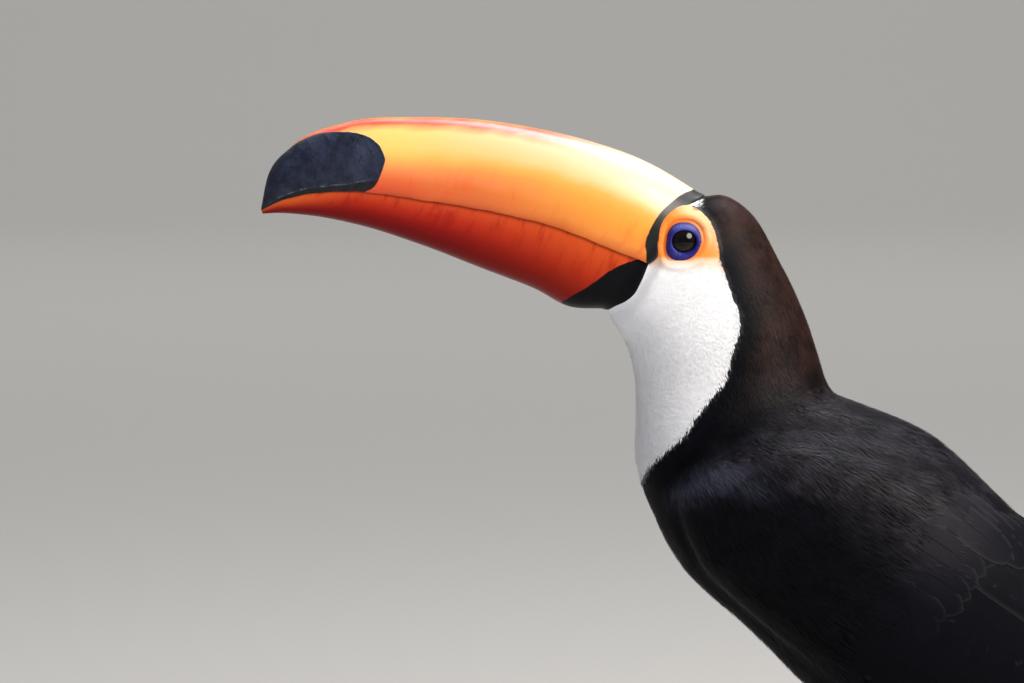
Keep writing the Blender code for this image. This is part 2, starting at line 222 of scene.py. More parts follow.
# Kinds of node: full name, what the values given to add_node fill in order (an input by number or
# capitalised name, otherwise a setting), the output that's read, and the settings that are always made.
KINDS = {
    "Attribute": ("ShaderNodeAttribute", ("attribute_name",), "Fac", {}),
    "AxesToRotation": ("FunctionNodeAxesToRotation", ("Primary Axis", "Secondary Axis"), 0,
                       {"primary_axis": "Z", "secondary_axis": "X"}),
    "Bump": ("ShaderNodeBump", ("Height", "Distance", "Strength"), "Normal", {}),
    "CombineXYZ": ("ShaderNodeCombineXYZ", (0, 1, 2), 0, {}),
    "Equal": ("FunctionNodeCompare", (2, 3), 0, {"data_type": "INT", "operation": "EQUAL"}),
    "InstanceOnPoints": ("GeometryNodeInstanceOnPoints", ("Points", "Instance", "Rotation", "Scale"), 0, {}),
    "MapRange": ("ShaderNodeMapRange", (0, 1, 2, 3, 4), 0, {"interpolation_type": "SMOOTHSTEP"}),
    "Mapping": ("ShaderNodeMapping", ("Vector", "Scale"), 0, {}),
    "Math": ("ShaderNodeMath", ("operation", 0, 1, 2), 0, {}),
    "Mix": ("ShaderNodeMix", (0, 6, 7), 2, {"data_type": "RGBA"}),
    "MixVector": ("ShaderNodeMix", (0, 4, 5), 1, {"data_type": "VECTOR"}),
    "NamedAttribute": ("GeometryNodeInputNamedAttribute", ("Name", "data_type"), "Attribute", {}),
    "NewGeometry": ("ShaderNodeNewGeometry", (), "Normal", {}),
    "Normal": ("GeometryNodeInputNormal", (), 0, {}),
    "ObjectInfo": ("GeometryNodeObjectInfo", ("Object",), "Geometry", {}),
    "PointsOnFaces": ("GeometryNodeDistributePointsOnFaces",
                      ("Mesh", "Distance Min", "Density Max", "Density Factor", "Seed"), "Points",
                      {"distribute_method": "POISSON"}),
    "Position": ("GeometryNodeInputPosition", (), 0, {}),
    "Proximity": ("GeometryNodeProximity", (0,), "Position", {"target_element": "FACES"}),
    "Random": ("FunctionNodeRandomValue", (2, 3, "Seed"), 1, {"data_type": "FLOAT"}),
    "RealizeInstances": ("GeometryNodeRealizeInstances", ("Geometry",), 0, {}),
    "SampleSurface": ("GeometryNodeSampleNearestSurface", ("Mesh", "Value"), "Value",
                      {"data_type": "FLOAT_VECTOR"}),
    "ScaleVector": ("ShaderNodeVectorMath", (0, 3), 0, {"operation": "SCALE"}),
    "SeparateFaces": ("GeometryNodeSeparateGeometry", ("Geometry", "Selection"), "Selection",
                      {"domain": "FACE"}),
    "SeparateXYZ": ("ShaderNodeSeparateXYZ", (0,), 0, {}),
    "SetMaterial": ("GeometryNodeSetMaterial", ("Geometry", "Material"), 0, {}),
    "SetPosition": ("GeometryNodeSetPosition", ("Geometry", "Position"), 0, {}),
    "StoreAttribute": ("GeometryNodeStoreNamedAttribute", ("data_type", "Geometry", "Name", "Value"), 0,
                       {"domain": "POINT"}),
    "TexCoord": ("ShaderNodeTexCoord", (), "Object", {}),
    "TexNoise": ("ShaderNodeTexNoise", ("Vector", "Scale", "Detail", "Roughness", "Distortion"), "Fac", {}),
    "TexVoronoi": ("ShaderNodeTexVoronoi", ("Vector", "Scale"), "Distance", {}),
    "UVMap": ("ShaderNodeUVMap", ("uv_map",), "UV", {}),
    "ValToRGB": ("ShaderNodeValToRGB", (0,), 0, {}),
    "VectorMath": ("ShaderNodeVectorMath", ("operation", 0, 1), 0, {}),
}


def feed(made, inputs):
    """Links sockets to a node's inputs, and sets plain values and hex colours on them."""
    for key, value in inputs.items():
        if isinstance(value, bpy.types.NodeSocket):
            made.id_data.links.new(value, made.inputs[key])
        else:
            coloured = isinstance(value, str) and value.startswith("#")
            made.inputs[key].default_value = hexa(value) if coloured else value


def add_node(tree, kind, *values, output=None, stops=(), **settings):
    """Adds a node of one of KINDS with its settings and links, and a colour ramp's (place, colour)
    stops, and returns an output of it. None leaves an input as it is."""
    full_name, places, usual_output, usual_settings = KINDS[kind]
    made = tree.nodes.new(full_name)
    given = {place: value for place, value in zip(places, values) if value is not None}
    named = {place: value for place, value in given.items() if isinstance(place, str) and place[0].islower()}
    for key, value in {**usual_settings, **named, **settings}.items():
        setattr(made, key, value)
    feed(made, {place: value for place, value in given.items() if place not in named})
    for i, (place, colour) in enumerate(stops):
        elements = made.color_ramp.elements
        element = elements[i] if i < len(elements) else elements.new(place)
        element.position = place
        element.color = hexa(colour)
    return made.outputs[usual_output if output is None else output]


def new_object(name, mesh, materials=()):
    """An object at the origin, with its mesh's materials in order."""
    made = bpy.data.objects.new(name, mesh)
    bpy.context.scene.collection.objects.link(made)
    for finish in materials:
        mesh.materials.append(finish)
    return made


def mesh_from(name, points, faces):
    mesh = bpy.data.meshes.new(name)
    mesh.from_pydata(np.asarray(points, float).tolist(), [], faces)
    mesh.shade_smooth()
    return mesh


def mesh_of(name, shape):
    """Turns a bmesh into a mesh and frees it."""
    mesh = bpy.data.meshes.new(name)
    shape.to_mesh(mesh)
    shape.free()
    return mesh


def face_outward(mesh):
    """Turns a closed mesh's faces outwards."""
    shape = bmesh.new()
    shape.from_mesh(mesh)
    bmesh.ops.recalc_face_normals(shape, faces=shape.faces)
    shape.to_mesh(mesh)
    shape.free()


def merged_solid(node):
    """A bmesh of a solid of the frame, its doubled vertices merged."""
    part = bmesh.new()
    part.from_mesh(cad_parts[node].data)
    bmesh.ops.remove_doubles(part, verts=part.verts, dist=1e-6)
    return part


def add_solid(shape, part, spots):
    """Adds a part's faces to a bmesh, its vertices moved to the spots, and frees the part."""
    made = [shape.verts.new(spot) for spot in spots]
    for face in part.faces:
        shape.faces.new([made[v.index] for v in face.verts])
    part.free()


def modified(name, mesh, kind, **settings):
    """The plain mesh that a modifier makes of a mesh."""
    holder = new_object(name, mesh)
    step = holder.modifiers.new(name, kind)
    for key, value in settings.items():
        setattr(step, key, value)
    made = bpy.data.meshes.new_from_object(holder.evaluated_get(bpy.context.evaluated_depsgraph_get()))
    bpy.data.objects.remove(holder)
    return made


def per_vertex(mesh, name):
    """A built-in vector of each vertex, such as "co" or "normal"."""
    found = np.empty(len(mesh.vertices) * 3, np.float32)
    mesh.vertices.foreach_get(name, found)
    return found.reshape(-1, 3).astype(float)


def coords(mesh):
    return per_vertex(mesh, "co")


def normals(mesh):
    return per_vertex(mesh, "normal")


def set_by_corner(mesh, name, values):
    """Stores a UV map from one place for each vertex."""
    corner = np.empty(len(mesh.loops), np.int32)
    mesh.loops.foreach_get("vertex_index", corner)
    set_attribute(mesh, name, values[corner], "FLOAT2", "CORNER")


def set_coords(mesh, points):
    mesh.vertices.foreach_set("co", np.asarray(points, np.float32).ravel())
    mesh.update()


def set_attribute(mesh, name, values, kind="FLOAT", domain="POINT"):
    """Stores values as an attribute, which is made if the mesh has none of that name."""
    held = mesh.attributes.get(name) or mesh.attributes.new(name, kind, domain)
    key = "vector" if kind in {"FLOAT_VECTOR", "FLOAT2"} else "value"
    held.data.foreach_set(key, np.asarray(values, np.float32 if kind != "INT" else np.int32).ravel())


def get_attribute(mesh, name, width):
    """An attribute's values, as rows if it's more than one wide."""
    held = mesh.attributes[name]
    found = np.empty(len(held.data) * width, np.float32)
    held.data.foreach_get("vector" if width > 1 else "value", found)
    return found.reshape(-1, width) if width > 1 else found


def add_piece(name, mesh, nodes, slot, *finishes):
    """Makes a finished piece, hides the frame's nodes that it replaces and hangs it from the root body. Its
    slot is not used.
    """
    piece = new_object(name, mesh, finishes)
    if nodes:
        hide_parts(*nodes)
    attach(piece, "root")
    return piece


def surface_of(mesh):
    """A search tree of a mesh's faces."""
    corners = [tuple(face.vertices) for face in mesh.polygons]
    return BVHTree.FromPolygons([v.co for v in mesh.vertices], corners)


def relax(mesh, points, rounds, share=0.5, weight=None):
    """Moves each point towards the middle of its neighbours."""
    pairs = np.empty(len(mesh.edges) * 2, np.int32)
    mesh.edges.foreach_get("vertices", pairs)
    a, b = pairs.reshape(-1, 2).T
    count = np.bincount(a, minlength=len(points)) + np.bincount(b, minlength=len(points))
    count = np.maximum(count, 1)[:, None]
    hold = share if weight is None else share * weight[:, None]
    for _ in range(rounds):
        total = np.empty_like(points)
        for axis in range(3):
            total[:, axis] = np.bincount(a, points[b, axis], len(points))
            total[:, axis] += np.bincount(b, points[a, axis], len(points))
        points = points + (total / count - points) * hold
    return points


def evened(shape, voxel):
    """A bmesh of closed solids as one even surface."""
    return modified("solids", mesh_of("solids", shape), "REMESH", mode="VOXEL", voxel_size=voxel)


# ---------------------------------------------------------------- skin

FLESH = ("head", "neck", "trunk", "wing_left", "wing_right", "thigh_left", "thigh_right", "tail")
CORES = ("bill_upper", "bill_lower")
CORE_SHRINK = 1.3 * MM  # how far the flesh under the horn lies inside it
CORE_MOVE = Vector((1.4, 0.0, -0.8)) * MM
CORE_PLANE = ((-96.0, 0.0, 286.0), (-0.87, 0.0, 0.49))  # a point in mm and the way of what's cut off
SEAM = 0.45 * MM  # each solid grows by this, so that the lengths of the body meet
TAIL_FLESH = 0.176  # where the fleshy root of the tail ends
SKIN_VOXEL = 1.5 * MM
FACE_REACH = 19 * MM  # how far from the eye the skin is made finer
SOCKET = 8.0 * MM


def eye_place(side):
    """Middle and radius of an eye's ball."""
    low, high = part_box("eye_" + side)
    return (low + high) / 2, (high - low).z / 2


def close_holes(part):
    bmesh.ops.holes_fill(part, edges=[e for e in part.edges if e.is_boundary], sides=0)


def cut_off(part, spot, way):
    """Takes away what lies past a plane, and closes the cut."""
    everything = part.verts[:] + part.edges[:] + part.faces[:]
    bmesh.ops.bisect_plane(part, geom=everything, plane_co=spot, plane_no=way, clear_outer=True)
    close_holes(part)


def flesh_solid(shape, node):
    """Adds a merged, slightly grown copy of a solid to a bmesh."""
    part = merged_solid(node)
    if node == "head":
        for side in SIDES:
            centre, _ = eye_place(side)
            pit = [f for f in part.faces if all((v.co - centre).length < SOCKET for v in f.verts)]
            bmesh.ops.delete(part, geom=pit, context="FACES")
        close_holes(part)
    if node == "tail":
        cut_off(part, (TAIL_FLESH, 0, 0), (1, 0, 0))
    bmesh.ops.recalc_face_normals(part, faces=part.faces)
    part.normal_update()
    if node in CORES:
        moved = [v.co - v.normal * CORE_SHRINK for v in part.verts]
        for vertex, spot in zip(part.verts, moved):
            vertex.co = spot + CORE_MOVE
        spot, way = CORE_PLANE
        cut_off(part, Vector(spot) * MM, way)
        part.normal_update()
    grow = 0.0 if node in CORES else SEAM
    add_solid(shape, part, [v.co + v.normal * grow for v in part.verts])


def skin_mesh():
    """The flesh solids as one even, smooth surface."""
    shape = bmesh.new()
    for node in FLESH + CORES:
        flesh_solid(shape, node)
    skin = evened(shape, SKIN_VOXEL)
    set_coords(skin, relax(skin, coords(skin), 14))
    return skin


def refine_face(mesh):
    """Splits the skin finely round the eyes."""
    shape = bmesh.new()
    shape.from_mesh(mesh)
    centre, _ = eye_place("right")
    edges = []
    for edge in shape.edges:
        middle = (edge.verts[0].co + edge.verts[1].co) / 2
        away = sqrt((middle.x - centre.x) ** 2 + (middle.z - centre.z) ** 2)
        if away < FACE_REACH and abs(middle.y) > 9 * MM:
            edges.append(edge)
    bmesh.ops.subdivide_edges(shape, edges=edges, cuts=3, use_grid_fill=True)
    bmesh.ops.triangulate(shape, faces=[f for f in shape.faces if len(f.verts) > 4])
    shape.to_mesh(mesh)
    shape.free()


def eye_rings(points, centre):
    """How far points are out from the eye's opening (1 on its edge) and from the blue ring (1 on its
    outer edge), with the angle round the eye."""
    dx = (points[:, 0] - centre.x) / MM
    dz = (points[:, 2] - centre.z) / MM
    opening = np.hypot(dx / EYE_OPENING[0], dz / EYE_OPENING[1])
    sunk = dx - 0.22 * np.minimum(dz, 0)
    ring = (np.abs(sunk / EYE_RING[0]) ** 2.3 + np.abs(dz / EYE_RING[1]) ** 2.3) ** (1 / 2.3)
    return opening, ring, np.arctan2(dz, -dx), dx, dz


def model_lids(points):
    """Moves skin points near each eye into the lids' edge, the wrinkled ring and the fold above it."""
    points = points.copy()
    for side, sign in SIDES.items():
        centre, radius = eye_place(side)
        opening, ring, turn, dx, dz = eye_rings(points, centre)
        near = (points[:, 1] * sign > 8 * MM) & (ring < 2.4)
        out = np.abs(points[:, 1]) / MM
        ball = abs(centre.y) / MM + np.sqrt(np.maximum((radius / MM) ** 2 - dx**2 - dz**2, 0.5))
        rim = abs(centre.y) / MM + 5.75
        full = np.maximum(out, 23.4 + 0.06 * dx - 0.05 * dz)
        head = out + (full - out) * (1 - ease(1.0, 2.1, ring))
        fold = np.exp(-(((ring - 1.13) / 0.06) ** 2)) * (0.35 + 0.35 * np.sin(turn))
        swell = 0.5 * np.exp(-(((ring - 1.38) / 0.16) ** 2))
        head = head - fold + swell * (1 - ease(1.6, 2.2, ring))
        share = np.clip((opening - 1) / np.maximum(opening - 1 + 1 - ring, 1e-3), 0, 1)
        wrinkles = 0.05 * np.sin(31 * turn + 2.5 * np.sin(3 * turn))
        wrinkles += 0.07 * np.sin(15 * share + 2 * np.sin(2 * turn))
        lid = rim + (head - rim) * share**1.3 + (0.75 + wrinkles) * np.sin(pi * share) ** 0.7
        inside = ball - 1.2
        edge = ease(0.90, 1.0, opening)
        lid = np.where(opening < 1, inside + (rim - inside) * edge, lid)
        level = np.where(ring < 1, lid, head)
        points[near, 1] = sign * level[near] * MM
    return points


# Depth of the coat and length of its feathers, by distance along the body, all in mm.
COAT_DEPTH = [(0.0, 0.3), (30.0, 0.4), (60.0, 0.55), (100.0, 0.8), (150.0, 1.1), (230.0, 1.2), (300.0, 1.0)]
FEATHER_LENGTH = [(0, 2.6), (25, 3.6), (50, 5.2), (90, 6.5), (130, 9.0), (230, 10.5), (330, 11)]


def coat_depth(points, marks):
    """How deep the feathers are over the skin, in metres."""
    along, _, _ = BODY_LINE.locate(points)
    depth = table(COAT_DEPTH, np.clip(along / MM, 0, 300))[:, 0]
    return depth * MM * ease(-1.5, 3.0, -marks["face"])


def lie_of_feathers(points, outward):
    """The way that feathers point, along the surface: down the body and, on the wings, to their tips."""
    along, _, way = BODY_LINE.locate(points)
    tip = np.array([0.175, 0.0, 0.088]) - points
    tip[:, 1] = np.sign(points[:, 1]) * 0.012 - points[:, 1]
    tip /= np.linalg.norm(tip, axis=1)[:, None]
    share = (0.55 * ease(0.105, 0.150, along) * ease(0.03, 0.045, np.abs(points[:, 1])))[:, None]
    way = way * (1 - share) + tip * share
    way = way - outward * (way * outward).sum(axis=1)[:, None]
    return way / np.maximum(np.linalg.norm(way, axis=1)[:, None], 1e-9)


# ---------------------------------------------------------------- bill

# Sections of the bill from the face to the tip: ridge, mouth line and keel as (x, z), half width.
BILL = [
    ((-57.8, 304.9), (-84.5, 275.6), (-101.3, 252.8), 21.6),
    ((-76.5, 316.2), (-98.5, 281.2), (-114.5, 253.4), 21.9),
    ((-104.5, 327.3), (-121.5, 290.2), (-132.0, 261.9), 21.0),
    ((-142.5, 335.8), (-148.5, 296.8), (-155.0, 270.8), 18.9),
    ((-183.0, 338.7), (-183.5, 302.5), (-184.0, 282.0), 15.9),
    ((-216.0, 336.4), (-213.5, 305.9), (-211.0, 290.5), 12.6),
    ((-240.5, 325.8), (-237.0, 303.8), (-234.0, 294.8), 8.6),
    ((-251.6, 311.8), (-249.0, 299.9), (-247.5, 295.7), 4.6),
    ((-254.5, 297.9), (-254.2, 296.6), (-253.7, 295.4), 1.2),
]
BILL_RINGS = 190
BILL_ROUND = 88

# The back edge of each half of the bill seen from the side, as (z, x).
UPPER_RIM = [
    (268.0, -88.5), (273.8, -83.2), (276.2, -79.7), (284.9, -76.8), (293.4, -71.9), (299.6, -64.9),
    (303.4, -57.7), (305.6, -51.0), (312.0, -30.0),
]
LOWER_RIM = [
    (246.0, -112.0), (251.6, -104.0), (252.8, -99.0), (255.0, -94.0), (258.5, -90.0), (266.0, -85.8),
    (274.2, -82.4), (278.0, -80.6), (286.0, -78.0),
]
RIM_ROLL = 1.1 * MM  # radius of the rounded rim
RIM_WALL = 3.2 * MM  # how far the rim turns in

# Outline of the black patch on the upper bill's tip as (x, z), closed past the mouth line.
TIP_PATCH = [
    (-262.0, 300.0), (-252.5, 313.5), (-242.2, 324.4), (-229.4, 331.4), (-218.0, 332.6),
    (-206.5, 330.7), (-200.9, 326.5), (-198.6, 321.5), (-200.2, 314.2), (-203.6, 308.0), (-208.0, 305.6),
    (-222.0, 302.0), (-236.0, 300.4), (-248.0, 296.4), (-254.5, 290.0), (-262.0, 288.0),
]

# Front edge of the black patch at the lower bill's root, as (z, x).
ROOT_PATCH = [
    (246.0, -126.0), (252.0, -122.5), (257.7, -117.6), (262.8, -109.4), (267.6, -102.8), (271.9, -96.6),
    (274.4, -91.5), (276.0, -86.0), (280.0, -78.0),
]
BAND = 5.1  # width of the black band along the upper bill's rim


def outline_distance(points, outline):
    """Signed distance of (x, z) points from a closed outline, plus inside."""
    outline = np.asarray(outline, float)
    best = np.full(len(points), 1e9)
    inside = np.zeros(len(points), bool)
    for a, b in zip(outline, np.roll(outline, -1, axis=0)):
        side = b - a
        t = np.clip(((points - a) @ side) / (side @ side), 0, 1)
        best = np.minimum(best, np.linalg.norm(points - a - t[:, None] * side, axis=1))
        spans = (a[1] > points[:, 1]) != (b[1] > points[:, 1])
        slope = side[0] / side[1] if side[1] else 0.0
        inside ^= spans & (points[:, 0] < a[0] + (points[:, 1] - a[1]) * slope)
    return np.where(inside, best, -best)


def rounded(outline, count=6):
    """A closed outline drawn smoothly through its points."""
    outline = np.asarray(outline, float)
    looped = np.concatenate([outline[-2:], outline, outline[:2]])
    knots = along_line(looped)
    spans = [(knots[i], knots[i + 1]) for i in range(2, len(outline) + 2)]
    places = np.concatenate([np.linspace(low, high, count, endpoint=False) for low, high in spans])
    return table(np.column_stack([knots, looped]), places)


BILL_ROWS = np.array([[*ridge, *mouth, *keel, width] for ridge, mouth, keel, width in BILL])
BILL_KNOTS = along_line(BILL_ROWS[:, 2:4])


def bill_points(upper, places, rise, side, jog=0.1):
    """Points of the bill's surface in millimetres, at distances from the face and shares of the way
    from the mouth line to the ridge or keel."""
    row = table(np.column_stack([BILL_KNOTS, BILL_ROWS]), np.maximum(places, 0))
    back = np.minimum(places, 0)[:, None]
    ridge, mouth, keel, width = row[:, 0:2], row[:, 2:4], row[:, 4:6], row[:, 6]
    reach = (ridge if upper else keel) - mouth
    length = np.linalg.norm(reach, axis=1)[:, None]
    middle = mouth + reach / length * (jog + rise[:, None] * (length - jog))
    level = middle + back * np.array([-0.88, 0.36])
    if not upper:
        width = width * 0.955
    return np.stack([level[:, 0], side * (width - back[:, 0] * 0.3), level[:, 1]], axis=1)


def rim_places(upper, rise, side):
    """Distances from the face at which the bill's surface meets the line of its rim."""
    line = UPPER_RIM if upper else LOWER_RIM
    low = np.full(len(rise), -9.0)
    high = np.full(len(rise), 16.0)
    for _ in range(26):
        middle = (low + high) / 2
        points = bill_points(upper, middle, rise, side)
        behind = points[:, 0] > table(line, np.clip(points[:, 2], line[0][0], line[-1][0]))[:, 0]
        low = np.where(behind, middle, low)
        high = np.where(behind, high, middle)
    return (low + high) / 2


def bill_half(upper):
    """Points of one half of the bill as a grid: rings from the face to the tip, each from the mouth
    line on the right side over the ridge or the keel to the left side; with each point's share of the
    way from the mouth to that edge."""
    turns = np.linspace(0, pi, BILL_ROUND + 1)
    roundness = 2.45 if upper else 2.5
    rise = np.abs(np.sin(turns)) ** (2 / roundness)
    side = np.sign(np.cos(turns)) * np.abs(np.cos(turns)) ** (2 / roundness)
    bulge = 0.10 if upper else 0.03
    side = side * (1 + 4 * bulge * rise * (1 - rise))
    first = rim_places(upper, rise, side)
    starts = BILL_KNOTS[-1] * np.sin(np.linspace(0, 1, BILL_RINGS) * pi / 2) ** 1.2
    points = np.empty((BILL_RINGS, BILL_ROUND + 1, 3))
    for i, start in enumerate(starts):
        jog = 0.10 + 0.16 * sin(start * 0.42) * sin(start * 0.13 + 1) if upper else -0.6
        places = start + first * max(1 - start / 30, 0) ** 2
        points[i] = bill_points(upper, places, rise, side, jog)
    return points * MM, rise


def grid_normals(points, sign):
    """Outward normals of a grid of points."""
    made = np.cross(np.gradient(points, axis=0), np.gradient(points, axis=1)) * sign
    return made / np.maximum(np.linalg.norm(made, axis=2)[..., None], 1e-12)


def bill_rim(upper):
    """The rim at the face: its points, their outward normals and the way back from each."""
    points, _ = bill_half(upper)
    outward = grid_normals(points, -1 if upper else 1)[0]
    middle = points[0].mean(axis=0)
    flip = np.sign(((points[0] - middle) * outward).sum(axis=1)).sum()
    outward = outward * (1 if flip > 0 else -1)
    back = points[0] - points[1]
    return points[0], outward, back / np.linalg.norm(back, axis=1)[:, None]


def bill_mesh(name, upper):
    """One half of the bill as a closed shell, its rim rolled in towards the skin."""
    points, rise = bill_half(upper)
    rim, outward, back = bill_rim(upper)
    turned = []
    for turn in (radians(90), radians(60), radians(30)):
        turned.append(rim + back * RIM_ROLL * sin(turn) - outward * RIM_ROLL * (1 - cos(turn)))
    wall = [turned[0] - outward * RIM_WALL]
    points = np.concatenate([np.array(wall + turned), points])
    rings, around = points.shape[:2]
    rolled = len(wall) + len(turned)
    flat = points.reshape(-1, 3)
    faces = []
    for i in range(rings - 1):
        for j in range(around - 1):
            a = i * around + j
            faces.append((a, a + 1, a + around + 1, a + around))
    # The two mouth edges are joined along a roof line, and both ends are closed.
    inner = len(flat)
    middles = (points[:, 0] + points[:, -1]) / 2
    roof = middles + np.array([0, 0, 0.6 * MM if upper else -0.6 * MM])
    flat = np.concatenate([flat, roof])
    for i in range(rings - 1):
        a, b = i * around, (i + 1) * around
        faces.append((a, b, inner + i + 1, inner + i))
        faces.append((b + around - 1, a + around - 1, inner + i, inner + i + 1))
    last = (rings - 1) * around
    for j in range(around - 1):
        faces.append((inner, j + 1, j))
        faces.append((inner + rings - 1, last + j, last + j + 1))
    mesh = mesh_from(name, flat, faces)
    face_outward(mesh)
    mesh.set_sharp_from_angle(angle=radians(48))
    # What the horn's colours follow: the way from the rim, up from the mouth, and the black marks.
    steps = np.linalg.norm(np.diff(points[rolled:], axis=0), axis=2)
    lengths = np.concatenate([np.zeros((rolled + 1, around)), np.cumsum(steps, axis=0)]).ravel() / MM
    lengths = np.concatenate([lengths, np.zeros(rings)])
    lengths[inner:] = lengths[:inner].reshape(rings, around)[:, 0]
    share = np.concatenate([np.tile(rise, rings), np.zeros(rings)])
    set_attribute(mesh, "from_face", lengths)
    set_attribute(mesh, "up_share", share)
    flat_mm = flat / MM
    if upper:
        mark = outline_distance(flat_mm[:, (0, 2)], rounded(TIP_PATCH))
        near = np.array([np.linalg.norm(rim / MM - p, axis=1).min() for p in flat_mm])
        near[:rolled * around] = 0
        foot = flat_mm[:, 0] + 82.0 + 9 * ease(280.5, 290, flat_mm[:, 2])
        mark = np.maximum(mark, np.minimum(BAND - near, foot))
    else:
        mark = flat_mm[:, 0] - table(ROOT_PATCH, np.clip(flat_mm[:, 2], 246, 280))[:, 0]
        mark = mark * 0.72
    set_attribute(mesh, "black_mark", mark)
    grid = np.column_stack([lengths, share * 40 * np.where(flat[:, 1] < 0, -1, 1)]) * 0.001
    set_by_corner(mesh, "horn_grain", grid)
    return mesh


def behind_bill(points):
    """How far behind the bill's rim each point is, in millimetres."""
    x, _, z = (points / MM).T
    upper = x - table(UPPER_RIM, np.clip(z, UPPER_RIM[0][0], UPPER_RIM[-1][0]))[:, 0]
    lower = x - table(LOWER_RIM, np.clip(z, LOWER_RIM[0][0], LOWER_RIM[-1][0]))[:, 0]
    return np.where(z > 275.5, upper, lower)


def meet_bill(points):
    """Moves skin points near the bill's rims to just under the horn's surface, so that no gap shows."""
    for upper, under in ((True, 0.75 * MM), (False, 0.95 * MM)):
        rim, outward, _ = bill_rim(upper)
        near = np.flatnonzero(points[:, 0] < -40 * MM)
        for start in range(0, len(near), 4096):
            part = near[start:start + 4096]
            away = points[part][:, None, :] - rim[None]
            i = (away**2).sum(axis=2).argmin(axis=1)
            gap = points[part] - rim[i]
            height = (gap * outward[i]).sum(axis=1)
            flat = np.linalg.norm(gap - outward[i] * height[:, None], axis=1)
            ahead = ease(1.0, 4.0, -behind_bill(points[part]))
            reach = (8 + 8 * ahead) * MM
            share = (1 - ease(0.8 * MM, reach, flat)) * (np.abs(height) < 9 * MM)
            move = np.clip(-under - height, (-2 - 2 * ahead) * MM, 5 * MM * (1 - ahead)) - 0.7 * MM * ahead
            move = move * share
            points[part] += outward[i] * move[:, None]
    return points


# ---------------------------------------------------------------- materials

# The horn's colours from the mouth line (0) to the ridge or the keel (1). The upper half runs from its
# root through its middle to its tip, and the lower one from its root to its front.
# Towards the ridge the root turns palest: partly the horn's own pale yellow, partly a painted highlight.
UPPER_ROOT = [
    (0.0, "#C86022"), (0.05, "#DC782C"), (0.13, "#EC9038"), (0.33, "#EC9C38"), (0.43, "#EDA040"),
    (0.52, "#EEA84C"), (0.62, "#EEBE84"), (0.80, "#EEC6A4"), (1.0, "#EECDB4"),
]
UPPER_MIDDLE = [
    (0.0, "#B84820"), (0.03, "#CE6028"), (0.09, "#DC6B32"), (0.20, "#E17430"), (0.31, "#EC8449"),
    (0.42, "#EE9346"), (0.53, "#EEAC56"), (0.64, "#EEBD7C"), (0.84, "#EEC294"), (0.90, "#EC8E66"),
    (0.93, "#E4523C"), (0.97, "#E4563C"), (1.0, "#EA8A4A"),
]
UPPER_TIP = [
    (0.0, "#BE4420"), (0.04, "#D44A24"), (0.10, "#E0522E"), (0.20, "#EA6634"), (0.31, "#EE8249"),
    (0.42, "#EEA655"), (0.53, "#EEC262"), (0.64, "#EEC96A"), (0.83, "#EEC571"), (0.90, "#EE9055"),
    (0.93, "#E4503A"), (0.965, "#E4503A"), (1.0, "#EC8A40"),
]
LOWER_ROOT = [
    (0.0, "#C8501F"), (0.20, "#BC451C"), (0.50, "#AE2E13"), (0.80, "#8E180B"), (1.0, "#740B07"),
]
LOWER_FRONT = [
    (0.0, "#B03A1A"), (0.10, "#C04422"), (0.30, "#B32C18"), (0.55, "#931510"), (0.80, "#7A0708"),
    (1.0, "#6A0304"),
]


def new_material(name):
    """A material, the function that adds nodes to it, and its shader."""
    made = bpy.data.materials.new(name)
    made.use_nodes = True
    tree = made.node_tree
    return made, partial(add_node, tree), tree.nodes["Principled BSDF"]


def upper_colour(node, up, out, streaks, waves):
    """The upper horn without its black marks: yellow over orange, with red streaks from the mouth."""
    sway = node("Math", "MULTIPLY", node("Math", "SUBTRACT", waves, 0.5), 0.10)
    waver = node("Math", "ADD", up, sway)
    root, middle, tip = (node("ValToRGB", waver, stops=row) for row in (UPPER_ROOT, UPPER_MIDDLE, UPPER_TIP))
    body = node("Mix", node("MapRange", out, 25.0, 88.0), root, middle)
    body = node("Mix", node("MapRange", out, 78.0, 140.0), body, tip)
    body = node("Mix", node("MapRange", out, 172.0, 205.0, 0.0, 0.9), body, "#E8733A")
    share = node("Math", "MULTIPLY", node("MapRange", streaks, 0.52, 0.72, 0.0, 0.42),
                 node("MapRange", up, 0.55, 0.02))
    return node("Mix", share, body, "#E5431E")


def lower_colour(node, up, out, streaks):
    """The lower horn without its black patch: red, darker to the keel, with a paler lip in front."""
    root, front = (node("ValToRGB", up, stops=row) for row in (LOWER_ROOT, LOWER_FRONT))
    body = node("Mix", node("MapRange", out, 20.0, 95.0), root, front)
    lip = node("Math", "MULTIPLY", node("MapRange", out, 130.0, 165.0, 0.0, 0.8),
               node("MapRange", up, 0.75, 0.1))
    body = node("Mix", lip, body, "#D9602A")
    share = node("Math", "MULTIPLY", node("MapRange", streaks, 0.48, 0.70, 0.0, 0.55),
                 node("MapRange", up, 1.0, 0.2))
    return node("Mix", share, body, "#8E1510")


